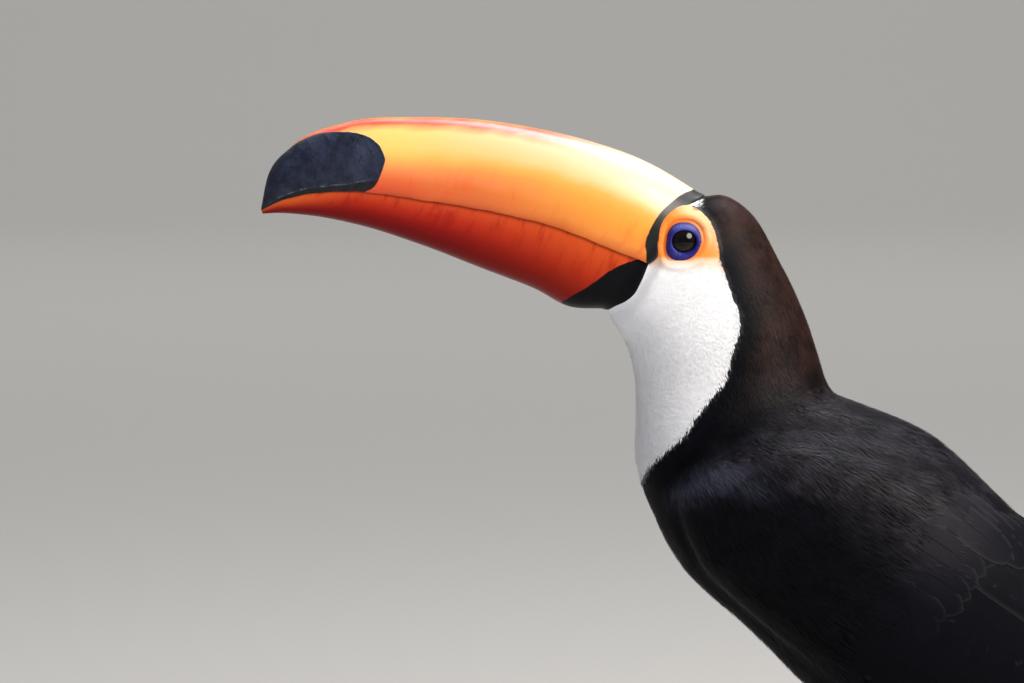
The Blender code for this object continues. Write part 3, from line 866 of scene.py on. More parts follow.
def slate_colour(node, place, up, out):
    """The horn's black marks: blue-black, worn paler in places and cracked in fine lines."""
    scuffs = node("TexNoise", place, 260.0, 4.0, 0.6)
    slate = node("Mix", node("MapRange", scuffs, 0.3, 0.75), "#0C1122", "#1E253E")
    worn = node("TexNoise", place, 70.0, 3.0)
    slate = node("Mix", node("MapRange", worn, 0.45, 0.7, 0.0, 0.4), slate, "#3A425C")
    crazing = node("Math", "SUBTRACT", node("TexNoise", place, 120.0, 2.5, None, 2.2), 0.5)
    cracks = node("MapRange", node("Math", "ABSOLUTE", crazing), 0.026, 0.006)
    broken = node("MapRange", node("TexNoise", place, 150.0, 1.0), 0.5, 0.58, 0.0, 0.9)
    slate = node("Mix", node("Math", "MULTIPLY", cracks, broken), slate, "#06070B")
    # A black lip along the mouth, which widens into a wedge at the patch's back, and a painted highlight
    # along its edge.
    wedge = node("Math", "ADD", up, node("MapRange", out, 147.0, 122.0, 0.0, -0.12))
    edge = node("Math", "ABSOLUTE", node("Math", "SUBTRACT", wedge, 0.105))
    glint = node("MapRange", edge, 0.016, 0.0, 0.0, 0.75)
    glint = node("Math", "MULTIPLY", glint, node("MapRange", node("TexNoise", place, 420.0), 0.42, 0.62))
    glint = node("Math", "MULTIPLY", glint, node("MapRange", out, 130.0, 140.0))
    slate = node("Mix", glint, slate, "#69708A")
    slate = node("Mix", node("MapRange", wedge, 0.092, 0.07), slate, "#050609")
    return node("Mix", node("MapRange", out, 60.0, 100.0), "#0A090D", slate)


def bill_horn(name, upper):
    """Keratin horn over foam: smooth, glossy and slightly see-through, so its colours glow and run
    into each other. It's dyed from the mouth upwards and grows in faint upright streaks."""
    made, node, shader = new_material(name)
    up = node("Attribute", "up_share")
    out = node("Attribute", "from_face")
    mark = node("Attribute", "black_mark")
    grain = node("UVMap", "horn_grain")
    place = node("TexCoord")
    # Streaks stand every 5 mm or so along the bill and run most of the way up it.
    streaks = node("TexNoise", node("Mapping", grain, (1.0, 0.16, 1.0)), 230.0, 3.0, 0.6)
    if upper:
        body = upper_colour(node, up, out, streaks, node("TexNoise", grain, 55.0, 2.0))
    else:
        body = lower_colour(node, up, out, streaks)
    fray = node("Math", "SUBTRACT", node("TexNoise", place, 260.0, 3.0), 0.5)
    black = node("MapRange", node("Math", "ADD", mark, node("Math", "MULTIPLY", fray, 0.9)), -0.22, 0.22)
    lines = node("TexNoise", node("Mapping", place, (1.0, 1.0, 2.6)), 420.0, 5.0, 0.65)
    gloss = node("MapRange", lines, 0.3, 0.8, 0.28, 0.40)
    dents = node("Math", "MULTIPLY", node("TexNoise", place, 150.0, 3.0, 0.5), black)
    dents = node("Math", "MULTIPLY", dents, node("MapRange", out, 90.0, 130.0))
    relief = node("Math", "ADD", node("Math", "MULTIPLY", lines, 0.10), node("Math", "MULTIPLY", dents, 9.0))
    feed(shader, {
        "Base Color": node("Mix", black, body, slate_colour(node, place, up, out)),
        "Roughness": node("Math", "ADD", gloss, node("Math", "MULTIPLY", black, 0.12)),
        "Normal": node("Bump", relief, 0.0002, 0.7),
        "IOR": 1.54,
        "Specular IOR Level": 0.4 if upper else 0.1,
        "Subsurface Weight": 0.12,
        "Subsurface Radius": (0.004, 0.0015, 0.0006),
        "Subsurface Scale": 1.0,
        "Coat Weight": 0.15 if upper else 0.0,
        "Coat Roughness": 0.3,
    })
    return made


def plumage_colour(node, tone):
    """Black feathers, white on the throat and rump, red under the tail, brown on crown and nape, with a
    painted sheen over the mantle and a painted highlight along the wing's bend.
    """
    colour = node("Mix", tone, "#020307", "#0B0D15")
    # Besides the brown, this paints the mantle's sheen and the wing bend's highlight into the colour.
    darks = (("dusk", "#07070B", "#36323A"), ("bend", "#1A1B26", "#535566"), ("brown", "#170E0C", "#452D26"))
    for mark, dark, light in darks:
        colour = node("Mix", node("Attribute", mark), colour, node("Mix", tone, dark, light))
    snow = node("Mix", tone, "#EAEAEC", "#F1F2F5")
    snow = node("Mix", node("Attribute", "peach"), snow, "#F8C39A")
    colour = node("Mix", node("Attribute", "white"), colour, snow)
    return node("Mix", node("Attribute", "red"), colour, node("Mix", tone, "#8E0F10", "#C5201A"))


def soft_normal(node, share, own):
    """The feathers' own relief, evened out towards the body under them as loose barbs do to light."""
    body = node("Attribute", "facing", output="Vector")
    return node("VectorMath", "NORMALIZE", node("MixVector", share, own, body))


def down_finish():
    """Short down under the feathers: soft, matt, and the same colours as the coat above it."""
    made, node, shader = new_material("down_over_skin")
    tone = node("TexNoise", node("TexCoord"), 700.0, 3.0)
    feed(shader, {"Base Color": plumage_colour(node, tone), "Roughness": 0.8, "Specular IOR Level": 0.2})
    return made


def feather_finish(name, fuzz=0.0):
    """Feather barbs: fine keratin threads with a low silky sheen, painted darker towards the root as
    shade from the tufts over it. White down also scatters light between its barbs, which brightens
    its edges."""
    made, node, shader = new_material(name)
    patches = node("MapRange", node("TexNoise", node("TexCoord"), 95.0, 2.0), 0.35, 0.65)
    own = node("Math", "MULTIPLY", node("Math", "POWER", node("Attribute", "tint"), 1.6), 0.5)
    tone = node("Math", "ADD", own, node("Math", "MULTIPLY", patches, 0.5))
    # Painted shade: each tuft is darkened towards its root, where the tufts over it shade it.
    tone = node("Math", "MULTIPLY", tone, node("MapRange", node("Attribute", "along"), 0.0, 0.9, 0.7, 1.0))
    evening = node("MapRange", node("Attribute", "white"), 0.0, 1.0, 0.6, 0.85)
    feed(shader, {
        "Base Color": plumage_colour(node, tone),
        "Normal": soft_normal(node, evening, node("NewGeometry")),
        "Roughness": 0.5,
        "Sheen Weight": fuzz,
        "Sheen Roughness": 0.6,
        "Specular IOR Level": 0.1,
        "Subsurface Weight": 0.0 if fuzz else 0.3,
        "Subsurface Radius": (0.0014, 0.0013, 0.0012),
        "Subsurface Scale": 1.0,
    })
    return made


def vane_finish():
    """Flight feather: close-knit barbs lying out from the shaft at an angle, smooth and silky, with a
    faint blue gloss and a darker shaft; on the back its edges are painted paler as a highlight."""
    made, node, shader = new_material("flight_feather_barbs")
    out = node("Attribute", "out_mm")
    tint = node("Attribute", "tint")
    wide = node("Math", "ABSOLUTE", out)
    lanes = node("Math", "SUBTRACT", node("Attribute", "down_mm"), node("Math", "MULTIPLY", wide, 1.3))
    space = node("CombineXYZ", *(
        node("Math", "MULTIPLY", part, size) for part, size in ((lanes, 3.4), (out, 0.25), (tint, 50.0))
    ))
    barbs = node("TexNoise", space, 1.0, 2.0, 0.5)
    tone = node("Math", "ADD", node("Math", "MULTIPLY", barbs, 0.40), node("Math", "MULTIPLY", tint, 0.30))
    colour = plumage_colour(node, tone)
    # Painted highlight: paler edges on the feathers of the back and upper wing.
    edge = node("MapRange", node("Attribute", "edge"), 0.7, 1.0, 0.0, 0.13)
    colour = node("Mix", node("Math", "MULTIPLY", edge, node("Attribute", "fringe")), colour, "#4A464B")
    colour = node("Mix", node("MapRange", wide, 0.35, 0.2, 0.0, 0.8), colour, "#07070A")
    feed(shader, {
        "Base Color": colour,
        "Normal": soft_normal(node, 0.35, node("Bump", barbs, 0.00006, 0.6)),
        "Roughness": 0.55,
        "Specular IOR Level": 0.06,
    })
    return made


def face_finish():
    """Bare facial skin: thin, moist and finely pebbled, orange, with a blue-violet ring round the eye
    that is all small folds."""
    made, node, shader = new_material("bare_face_skin")
    ring = node("Attribute", "ring")
    place = node("TexCoord")
    level_x, _, level_z = node("SeparateXYZ", place).node.outputs
    orange = node("Mix", node("TexNoise", place, 260.0, 3.0), "#F07A22", "#F99540")
    orange = node("Mix", node("MapRange", level_x, -0.0735, -0.0800, 0.0, 0.7), orange, "#E65E14")
    # Paler towards the top and back of the face: partly the skin's own paler tone, partly a painted
    # highlight.
    orange = node("Mix", node("Attribute", "pale_top"), orange, "#E8AD7A")
    orange = node("Mix", node("Attribute", "peach"), orange, "#FCD2AE")
    # Painted shade: the orange is darkened in the fold just outside the blue ring.
    orange = node("Mix", node("MapRange", ring, 1.08, 1.22, 0.6, 0.0), orange, "#C25A10")
    violet = node("Mix", node("TexNoise", place, 900.0, 4.0, 0.7), "#0D0B48", "#2C2A8A")
    # Painted highlight: the ring's top is lightened to lavender.
    violet = node("Mix", node("MapRange", level_z, 0.2880, 0.2918, 0.0, 0.4), violet, "#7A7ECB")
    violet = node("Mix", node("MapRange", ring, 0.99, 0.84, 0.75, 0.0), violet, "#151048")
    colour = node("Mix", node("MapRange", ring, 0.985, 1.015, 1.0, 0.0), orange, violet)
    down = plumage_colour(node, node("TexNoise", place, 700.0, 3.0))
    feed(shader, {
        "Base Color": node("Mix", node("MapRange", node("Attribute", "face_in"), -0.4, 0.2), down, colour),
        "Normal": node("Bump", node("TexVoronoi", place, 1500.0), 0.0001, 0.2),
        "Roughness": 0.5,
        "Specular IOR Level": 0.35,
        "Subsurface Weight": 0.12,
        "Subsurface Radius": (0.002, 0.0008, 0.0004),
        "Subsurface Scale": 1.0,
    })
    return made


def eye_finish():
    """A wet eye: black pupil in a dark olive-brown iris under a clear, mirror-smooth cornea."""
    made, node, shader = new_material("wet_eye")
    out = node("Attribute", "from_pupil")
    place = node("TexCoord")
    iris = node("Mix", node("TexNoise", place, 1500.0, 4.0, 0.7), "#060402", "#120D05")
    # Painted light: the iris is painted paler olive towards its bottom, as if lit through the cornea.
    glow = node("MapRange", node("SeparateXYZ", place, output=2), 0.2835, 0.2800)
    iris = node("Mix", node("Math", "MULTIPLY", glow, 0.5), iris, "#32270C")
    iris = node("Mix", node("MapRange", out, 0.78, 0.98), iris, "#060403")
    feed(shader, {
        "Base Color": node("Mix", node("MapRange", out, 0.46, 0.54, 1.0, 0.0), iris, "#020203"),
        "Roughness": 0.10,
        "IOR": 1.33,
        "Specular IOR Level": 0.55,
    })
    return made


def leg_finish():
    """Scaled leg skin: dry, waxy, blue-grey, with darker grooves between the scales and small grains
    on the sides."""
    made, node, shader = new_material("leg_scales")
    place = node("TexCoord")
    grains = node("TexVoronoi", place, 1100.0, feature="DISTANCE_TO_EDGE")
    cracks = node("Math", "MAXIMUM", node("MapRange", grains, 0.0, 0.22), node("Attribute", "front"))
    blotches = node("MapRange", node("TexNoise", place, 160.0, 4.0, 0.6), 0.3, 0.7)
    colour = node("Mix", cracks, "#3C4A56", node("Mix", blotches, "#4E6478", "#8298A8"))
    groove = node("MapRange", node("Attribute", "groove"), 0.25, 1.0)
    feed(shader, {
        "Base Color": node("Mix", groove, colour, "#2E3942"),
        "Normal": node("Bump", cracks, 0.00012, 0.6),
        "Roughness": 0.42,
        "Subsurface Weight": 0.1,
        "Subsurface Radius": (0.001, 0.0008, 0.0008),
        "Subsurface Scale": 1.0,
    })
    return made


def claw_finish():
    """Claw horn: dark, smooth, and faintly lined along its length."""
    made, node, shader = new_material("claw_horn")
    place = node("TexCoord")
    lines = node("TexNoise", node("Mapping", place, (0.2, 1.0, 1.0)), 1800.0, 3.0)
    colour = node("Mix", node("TexNoise", place, 400.0, 3.0), "#131416", "#35312E")
    colour = node("Mix", node("MapRange", lines, 0.45, 0.7, 0.0, 0.5), colour, "#4A4541")
    feed(shader, {"Base Color": colour, "Normal": node("Bump", lines, 0.00004, 0.5), "Roughness": 0.28})
    return made


MAKERS = {
    "upper_bill_horn": partial(bill_horn, "upper_bill_horn", True),
    "lower_bill_horn": partial(bill_horn, "lower_bill_horn", False),
    "down": down_finish,
    "feather_barbs": partial(feather_finish, "feather_barbs"),
    "white_down": partial(feather_finish, "white_down", 0.4),
    "vane": vane_finish,
    "face": face_finish,
    "eye": eye_finish,
    "leg": leg_finish,
    "claw": claw_finish,
}
MATERIALS = {}


def material(name):
    """The finish of that name, made once."""
    if name not in MATERIALS:
        MATERIALS[name] = MAKERS[name]()
    return MATERIALS[name]


# ---------------------------------------------------------------- feathers by Geometry Nodes


def barb_tuft():
    """A slender closed tuft one unit long and wide: flat below, ridged above, pointed at its end."""
    stations = [(0.0, 0.45, 0.6), (0.5, 1.0, 1.0)]
    points = []
    share = []
    crest = []
    for place, width, height in stations:
        for side, top in ((-0.5, 0.0), (0.5, 0.0), (0.0, 1.0)):
            points.append((place, side * width, top * height * 0.2))
            share.append(place)
            crest.append(top * height)
    points.append((1.0, 0.0, 0.0))
    share.append(1.0)
    crest.append(0.0)
    faces = [(0, 1, 2)]
    for i in range(len(stations) - 1):
        a, b = 3 * i, 3 * i + 3
        for j, k in ((0, 1), (1, 2), (2, 0)):
            faces.append((a + k, a + j, b + j))
            faces.append((a + k, b + j, b + k))
    last = 3 * len(stations) - 3
    for j, k in ((0, 1), (1, 2), (2, 0)):
        faces.append((last + k, last + j, last + 3))
    mesh = mesh_from("barb_tuft", points, faces)
    shape = bmesh.new()
    shape.from_mesh(mesh)
    bmesh.ops.recalc_face_normals(shape, faces=shape.faces)
    for edge in shape.edges:
        edge.smooth = not all(v.co.z < 1e-6 for v in edge.verts)
    shape.to_mesh(mesh)
    shape.free()
    set_attribute(mesh, "along", share)
    set_attribute(mesh, "crest", crest)
    tuft = new_object("barb_tuft", mesh)
    tuft.hide_render = True
    return tuft


TREE_INPUTS = (
    ("Skin", "NodeSocketObject"), ("Tuft", "NodeSocketObject"), ("Patch", "NodeSocketInt"),
    ("Spacing", "NodeSocketFloat"), ("Width", "NodeSocketFloat"), ("Thickness", "NodeSocketFloat"),
    ("Turn", "NodeSocketFloat"), ("Seed", "NodeSocketInt"), ("Finish", "NodeSocketMaterial"),
)
# What differs from tuft to tuft: lowest, highest, and what's added to the seed.
TUFT_CHANCES = (
    ("length", 0.75, 1.25, 1.0), ("width", 0.7, 1.3, 2.0), ("turn", -0.5, 0.5, 3.0), ("tint", 0.0, 1.0, 5.0),
)
TUFT_CROWD = 2.6  # tufts tried in a square of the spacing, before the ones too close are left out
TUFT_ROOT = 0.35 * MM  # how far a tuft's root is sunk in the skin


def plumage_tree():
    """Scatters tufts over one patch of the skin, lays them along the lie of the feathers, and bends
    each to the skin so that its root is in it and its tip stands over it by the coat's depth."""
    tree = bpy.data.node_groups.new("plumage", "GeometryNodeTree")
    tree.interface.new_socket("Geometry", in_out="INPUT", socket_type="NodeSocketGeometry")
    for name, kind in TREE_INPUTS:
        tree.interface.new_socket(name, in_out="INPUT", socket_type=kind)
    tree.interface.new_socket("Geometry", in_out="OUTPUT", socket_type="NodeSocketGeometry")
    given = tree.nodes.new("NodeGroupInput").outputs
    node = partial(add_node, tree)
    drawn = {}
    for name, low, high, salt in TUFT_CHANCES:
        drawn[name] = node("Random", low, high, node("Math", "ADD", given["Seed"], salt))
    held = {}
    for name in ("cover", "feather_length", "depth", "tint", "along", "crest"):
        held[name] = node("NamedAttribute", name, "FLOAT")
    lie = node("NamedAttribute", "lie", "FLOAT_VECTOR")
    patch = node("Equal", node("NamedAttribute", "patch", "INT"), given["Patch"])
    piece = node("SeparateFaces", given["Geometry"], patch)
    crowd = node("Math", "DIVIDE", TUFT_CROWD, node("Math", "MULTIPLY", given["Spacing"], given["Spacing"]))
    points = node("PointsOnFaces", piece, given["Spacing"], crowd, held["cover"], given["Seed"])
    outward = points.node.outputs["Normal"]
    swirl = node("Math", "SUBTRACT", node("TexNoise", None, 110.0, 2.0), 0.5)
    swirl = node("Math", "MULTIPLY", node("Math", "MULTIPLY", swirl, given["Turn"]), 2.0)
    turn = node("Math", "ADD", node("Math", "MULTIPLY", drawn["turn"], given["Turn"]), swirl)
    beside = node("VectorMath", "CROSS_PRODUCT", outward, lie)
    heading = node("VectorMath", "ADD", lie, node("ScaleVector", beside, turn))
    points = node("StoreAttribute", "FLOAT_VECTOR", points, "root", node("Position"))
    points = node("StoreAttribute", "FLOAT", points, "tint", drawn["tint"])
    length = node("Math", "MULTIPLY", held["feather_length"], drawn["length"])
    width = node("Math", "MULTIPLY", given["Width"], drawn["width"])
    size = node("CombineXYZ", length, width, width)
    tuft = node("ObjectInfo", given["Tuft"])
    tufts = node("InstanceOnPoints", points, tuft, node("AxesToRotation", outward, heading), size)
    base = node("ObjectInfo", given["Skin"])
    facing = node("SampleSurface", base, node("Normal"))
    spread = node("Math", "ADD", 0.85, node("Math", "MULTIPLY", held["tint"], 0.3))
    rise = node("Math", "MULTIPLY", held["depth"], spread)
    rise = node("Math", "MULTIPLY", rise, node("Math", "POWER", held["along"], 1.15))
    rise = node("Math", "ADD", rise, node("Math", "MULTIPLY", held["crest"], given["Thickness"]))
    sunk = node("Math", "MULTIPLY", TUFT_ROOT, node("Math", "SUBTRACT", 1.0, held["along"]))
    rise = node("Math", "SUBTRACT", rise, sunk)
    spot = node("VectorMath", "ADD", node("Proximity", base), node("ScaleVector", facing, rise))
    laid = node("SetPosition", node("RealizeInstances", tufts), spot)
    laid = node("StoreAttribute", "FLOAT_VECTOR", laid, "facing", facing)
    done = node("SetMaterial", laid, given["Finish"])
    feed(tree.nodes.new("NodeGroupOutput"), {0: done})
    return tree


def grown(name, tree, skin, values):
    """The plain mesh that a Geometry Nodes tree makes on a copy of the skin."""
    holder = new_object(name, skin.data)
    step = holder.modifiers.new("plumage", "NODES")
    step.node_group = tree
    for item in tree.interface.items_tree:
        if item.item_type == "SOCKET" and item.in_out == "INPUT" and item.name in values:
            step[item.identifier] = values[item.name]
    bpy.context.view_layer.update()
    depsgraph = bpy.context.evaluated_depsgraph_get()
    mesh = bpy.data.meshes.new_from_object(holder.evaluated_get(depsgraph))
    bpy.data.objects.remove(holder)
    mesh.name = name
    return mesh


TUFT_PATCH = 0.003  # size of a tuft's patch on the baking map
# What the coat takes over from the skin and needs no more once it's grown.
SPENT = ("root", "crest", "depth", "cover", "lie", "feather_length", "patch", "ring", "pale_top", "face_in")


def body_map(points):
    """An unwrap of the body's own shape: round it from the belly, and along it."""
    along, angle, _ = BODY_LINE.locate(points)
    return np.column_stack([0.5 + angle / (2 * pi), along / BODY_LINE.along[-1]]) * 0.94 + 0.03


def dress(mesh, roots, across):
    """Gives feathers their markings and their baking map from where they are rooted."""
    marks = markings(roots)
    set_attribute(mesh, "white", np.maximum((marks["bib"] > 0).astype(float), marks["rump"] > 0.5))
    set_attribute(mesh, "red", marks["vent"] > 0.5)
    # These also carry the mantle's painted sheen and the wing bend's painted highlight.
    for name in ("brown", "peach", "dusk", "bend"):
        set_attribute(mesh, name, marks[name])
    set_by_corner(mesh, "OFBake", body_map(roots) + across * TUFT_PATCH)


# Patches of the coat: name, number, then the spacing, width and thickness of its tufts in mm, and how
# much their lie wanders. Real barbs are finer: the tufts are as coarse as they need to be to show.
COAT = {
    "crown": (1, 0.46, 0.40, 0.045, 0.22),
    "nape": (2, 0.50, 0.44, 0.05, 0.22),
    "throat_upper": (3, 0.48, 0.58, 0.022, 0.12),
    "throat_lower": (4, 0.48, 0.60, 0.022, 0.16),
    "mantle": (5, 0.66, 0.44, 0.06, 0.85),
    "breast": (6, 0.82, 0.60, 0.06, 0.20),
    "wing_front": (9, 0.76, 0.62, 0.04, 0.30),
    "belly": (7, 1.10, 0.90, 0.10, 0.25),
    "rump": (8, 1.15, 1.00, 0.08, 0.22),
}


def patch_numbers(points, marks):
    """Which patch of the coat each point belongs to. The part of the wing under its long feathers has
    none."""
    along, angle, _ = BODY_LINE.locate(points)
    along = along / MM
    back = np.abs(angle)
    white = marks["bib"] > -1.0
    number = np.full(len(points), 5)
    number[along < 92] = 2
    number[along < 42] = 1
    number[(along >= 98) & (back > 1.5)] = 6
    number[(along >= 150) & (back > 1.9)] = 7
    number[along >= 215] = 8
    for side, sign in SIDES.items():
        share = WingOutline(side).share_of(along, angle)
        here = points[:, 1] * sign > 0
        on_wing = here & (share > 0.06) & (share < 0.94)
        number[on_wing & (along > 112) & (along <= 204)] = 9
        number[on_wing & (along > 204) & (along < 268)] = 0
        number[here & (share > 0.9) & (share < 1.12) & (along > 206) & (along < 240)] = 0
    number[white] = 3
    number[white & (along > 58)] = 4
    return number


# ---------------------------------------------------------------- long feathers


def probe(mesh):
    """A reader of the nearest place on a mesh and of its smooth outward normal there."""
    tree = surface_of(mesh)
    facing = normals(mesh)
    corners = [tuple(face.vertices) for face in mesh.polygons]

    def read(points):
        spots = np.empty((len(points), 3))
        ways = np.empty((len(points), 3))
        for i, point in enumerate(points):
            spot, _, face, _ = tree.find_nearest(point)
            spots[i] = spot
            ways[i] = facing[list(corners[face])].mean(axis=0)
        return spots, ways / np.linalg.norm(ways, axis=1)[:, None]

    read.tree = tree
    return read


class Vanes:
    """Gathers long feathers and makes them one mesh. Each is a thin closed blade with a round end,
    arched over its shaft."""

    ACROSS = np.array([-1.0, -0.55, 0.0, 0.55, 1.0])
    STATIONS = 12

    def __init__(self):
        self.points = []
        self.faces = []
        self.values = []
        self.facing = []
        self.roots = []
        self.spread = []

    def add(self, path, ups, sides, length, width, rises, arch=0.35, tilt=0.0, thick=0.22,
            read=None, tint=0.5, square=0.55, root=0):
        """Adds a feather along a path: its length and width, its height over the path at each station,
        how much it arches and leans, its thickness, and where its end starts to round off."""
        count = len(path)
        share = np.linspace(0, 1, count)
        end = np.clip((share - square) / (1 - square), 0, 1)
        shape = (0.45 + 0.55 * ease(0, 0.35, share)) * np.sqrt(1 - end**2.2)
        half = width / 2 * np.maximum(shape, 0.06)
        first = sum(len(p) for p in self.points)
        across = np.append(self.ACROSS, 0.0)
        grid = path[:, None, :] + sides[:, None, :] * (across[None, :, None] * half[:, None, None]) * MM
        over = rises[:, None] + arch * (1 - across**2)[None] * shape[:, None] + tilt * across[None]
        over[:, -1] -= thick * (1 - 0.5 * share) + arch * shape
        facing = np.repeat(ups[:, None, :], len(across), axis=1)
        if read:
            spots, facing = read(grid.reshape(-1, 3))
            grid = spots.reshape(grid.shape)
            facing = facing.reshape(grid.shape)
        grid = grid + facing * over[..., None] * MM
        self.points.append(grid.reshape(-1, 3))
        self.facing.append(facing.reshape(-1, 3))
        wide = len(across)
        ring = list(range(wide))
        for i in range(count - 1):
            for a, b in zip(ring, ring[1:] + ring[:1]):
                p, q = first + i * wide + a, first + i * wide + b
                self.faces.append((p, q, q + wide, p + wide))
        self.faces.append(tuple(first + a for a in reversed(ring)))
        last = first + (count - 1) * wide
        self.faces.append(tuple(last + a for a in ring))
        down = np.repeat(share * length, wide)
        out = (across[None] * half[:, None]).ravel()
        rim = np.maximum(np.tile(np.abs(across), count), np.repeat(share, wide) ** 4)
        tints = np.full(len(down), tint)
        self.values.append(np.column_stack([down, out, np.repeat(share, wide), tints, rim]))
        self.roots.append(np.repeat(path[root][None], count * wide, axis=0))
        self.spread.append(np.column_stack([np.tile(across * 0.5, count), np.repeat(share - 0.5, wide)]))

    def mesh(self, name):
        made = mesh_from(name, np.concatenate(self.points), self.faces)
        face_outward(made)
        made.set_sharp_from_angle(angle=radians(50))
        values = np.concatenate(self.values)
        for column, key in enumerate(("down_mm", "out_mm", "along", "tint", "edge")):
            set_attribute(made, key, values[:, column])
        set_attribute(made, "facing", np.concatenate(self.facing), "FLOAT_VECTOR")
        dress(made, np.concatenate(self.roots), np.concatenate(self.spread))
        # The long feathers carry the mantle's painted sheen a little more weakly.
        set_attribute(made, "dusk", 0.85 * markings(coords(made))["dusk"])
        # Painted highlight: paler feather edges only on the back and upper wing, where light from above
        # falls.
        set_attribute(made, "fringe", ease(1.75, 1.2, np.abs(BODY_LINE.locate(coords(made))[1])))
        return made


def unit(vectors):
    """The vectors at length one."""
    return vectors / np.maximum(np.linalg.norm(vectors, axis=-1), 1e-12)[..., None]


def walk(read, start, heading, length, steer=0.25, count=Vanes.STATIONS):
    """A path over the skin from a start point: places, outward normals and side vectors."""
    spots, ups = read(start[None])
    spot, up = spots[0], ups[0]
    heading = unit(heading - up * heading.dot(up))
    path, facing, sides = [spot], [up], [np.cross(up, heading)]
    for _ in range(count - 1):
        lie = lie_of_feathers(spot[None], up[None])[0]
        heading = unit(heading * (1 - steer) + lie * steer)
        spots, ups = read((spot + heading * length * MM / (count - 1))[None])
        spot, up = spots[0], ups[0]
        heading = unit(heading - up * heading.dot(up))
        path.append(spot)
        facing.append(up)
        sides.append(np.cross(up, heading))
    return np.array(path), np.array(facing), np.array(sides)


class WingOutline:
    """The folded wing's lower and upper edge round the body, read from its solid."""

    def __init__(self, side):
        points = coords(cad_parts["wing_" + side].data)
        along, angle, _ = BODY_LINE.locate(points)
        along = along / MM
        self.sign = SIDES[side]
        self.low_along, self.high_along = np.percentile(along, [0.5, 99.5])
        self.places = np.linspace(self.low_along, self.high_along, 40)
        lower, upper = [], []
        for place in self.places:
            near = np.abs(angle[np.abs(along - place) < 7])
            lower.append(near.max())
            upper.append(near.min())
        smooth = np.hanning(9) / np.hanning(9).sum()
        self.lower = np.convolve(np.pad(lower, 4, mode="edge"), smooth, "valid")
        self.upper = np.convolve(np.pad(upper, 4, mode="edge"), smooth, "valid")

    def angle(self, along, share):
        lower = np.interp(along, self.places, self.lower)
        upper = np.interp(along, self.places, self.upper)
        return (lower + (upper - lower) * share) * self.sign

    def spot(self, tree, along, share):
        """The skin's point at a distance along the body, a share of the way up the wing."""
        angle = self.angle(along, share)
        out = BODY_LINE.place(along * MM, angle, 0.12)
        middle = BODY_LINE.place(along * MM, angle, 0.0)
        hit = tree.ray_cast(Vector(out), Vector(middle - out))[0]
        return np.array(hit if hit else middle)

    def share_of(self, along, angle):
        """The share of the way up the wing for places given along and round the body."""
        lower = np.interp(along, self.places, self.lower)
        upper = np.interp(along, self.places, self.upper)
        return (lower - np.abs(angle)) / np.maximum(lower - upper, 1e-6)


def wing_relief(points):
    """How far the skin stands out where the folded wing's bend and upper edge are, and in along the
    fold in front of it."""
    along, angle, _ = BODY_LINE.locate(points)
    along = along / MM
    out = np.zeros(len(points))
    for side, sign in SIDES.items():
        outline = WingOutline(side)
        share = outline.share_of(along, angle)
        high = (1 - share) * 26 + 3
        low = share * 50 + 2
        front = (along - outline.low_along - 2) * 0.9
        inside = -np.log(np.exp(-high / 2.5) + np.exp(-low / 2.5) + np.exp(-front / 2.5)) * 2.5
        bulge = 1.3 * np.exp(-(((inside - 5.5) / 4.0) ** 2)) - 1.2 * np.exp(-(((inside + 1.5) / 2.6) ** 2))
        fade = 1 - ease(165, 215, along)
        here = points[:, 1] * sign > 0
        out[here] += (bulge * fade)[here]
    return out * MM


def over_vanes(points):
    """The share, from 0 to 1, by which small feathers have run out over the wing's long ones."""
    along, angle, _ = BODY_LINE.locate(points)
    ragged = 5 * np.sin(9 * angle + 2) + 3 * np.sin(23 * angle)
    share = ease(170, 202, along / MM + ragged)
    for side, sign in SIDES.items():
        height = WingOutline(side).share_of(along / MM, angle)
        inside = ease(0.0, 0.12, height) * (1 - ease(0.9, 1.02, height))
        share = np.where(points[:, 1] * sign > 0, share * inside, share)
    return share


# Rows of wing feathers, from the deepest layer up: name, distance along the body of the roots at the
# wing's lower and upper edge, shares of the way up for the first and last root, how many, length of
# the first and last, width, and the layer's height over the skin at root and tip, all in mm.
WING_ROWS = [
    ("primary", 190.0, 186.0, 0.02, 0.30, 8, 112.0, 104.0, 15.0, 0.1, 0.4),
    ("secondary", 190.0, 184.0, 0.24, 0.80, 11, 102.0, 78.0, 17.0, 0.25, 0.6),
    ("tertial", 186.0, 174.0, 0.74, 0.98, 5, 76.0, 60.0, 20.0, 0.5, 0.8),
    ("primary_covert", 168.0, 176.0, 0.04, 0.34, 7, 40.0, 42.0, 13.0, 0.45, 0.8),
    ("greater_covert", 176.0, 168.0, 0.20, 0.94, 12, 40.0, 44.0, 16.0, 0.65, 0.95),
]
SCAPULAR_ROWS = [
    ("scapular", 172.0, 200.0, 0.88, 1.12, 7, 46.0, 40.0, 18.0, 0.9, 1.2),
]


VANE_ENDS = 212.0  # how far along the body, in mm, the wings' long feathers may start to end
VANE_REACH = 8 * MM  # how high over the skin a long feather still covers it
VANE_ROOM = 1.0 * MM  # how much higher small feathers stand over the long ones


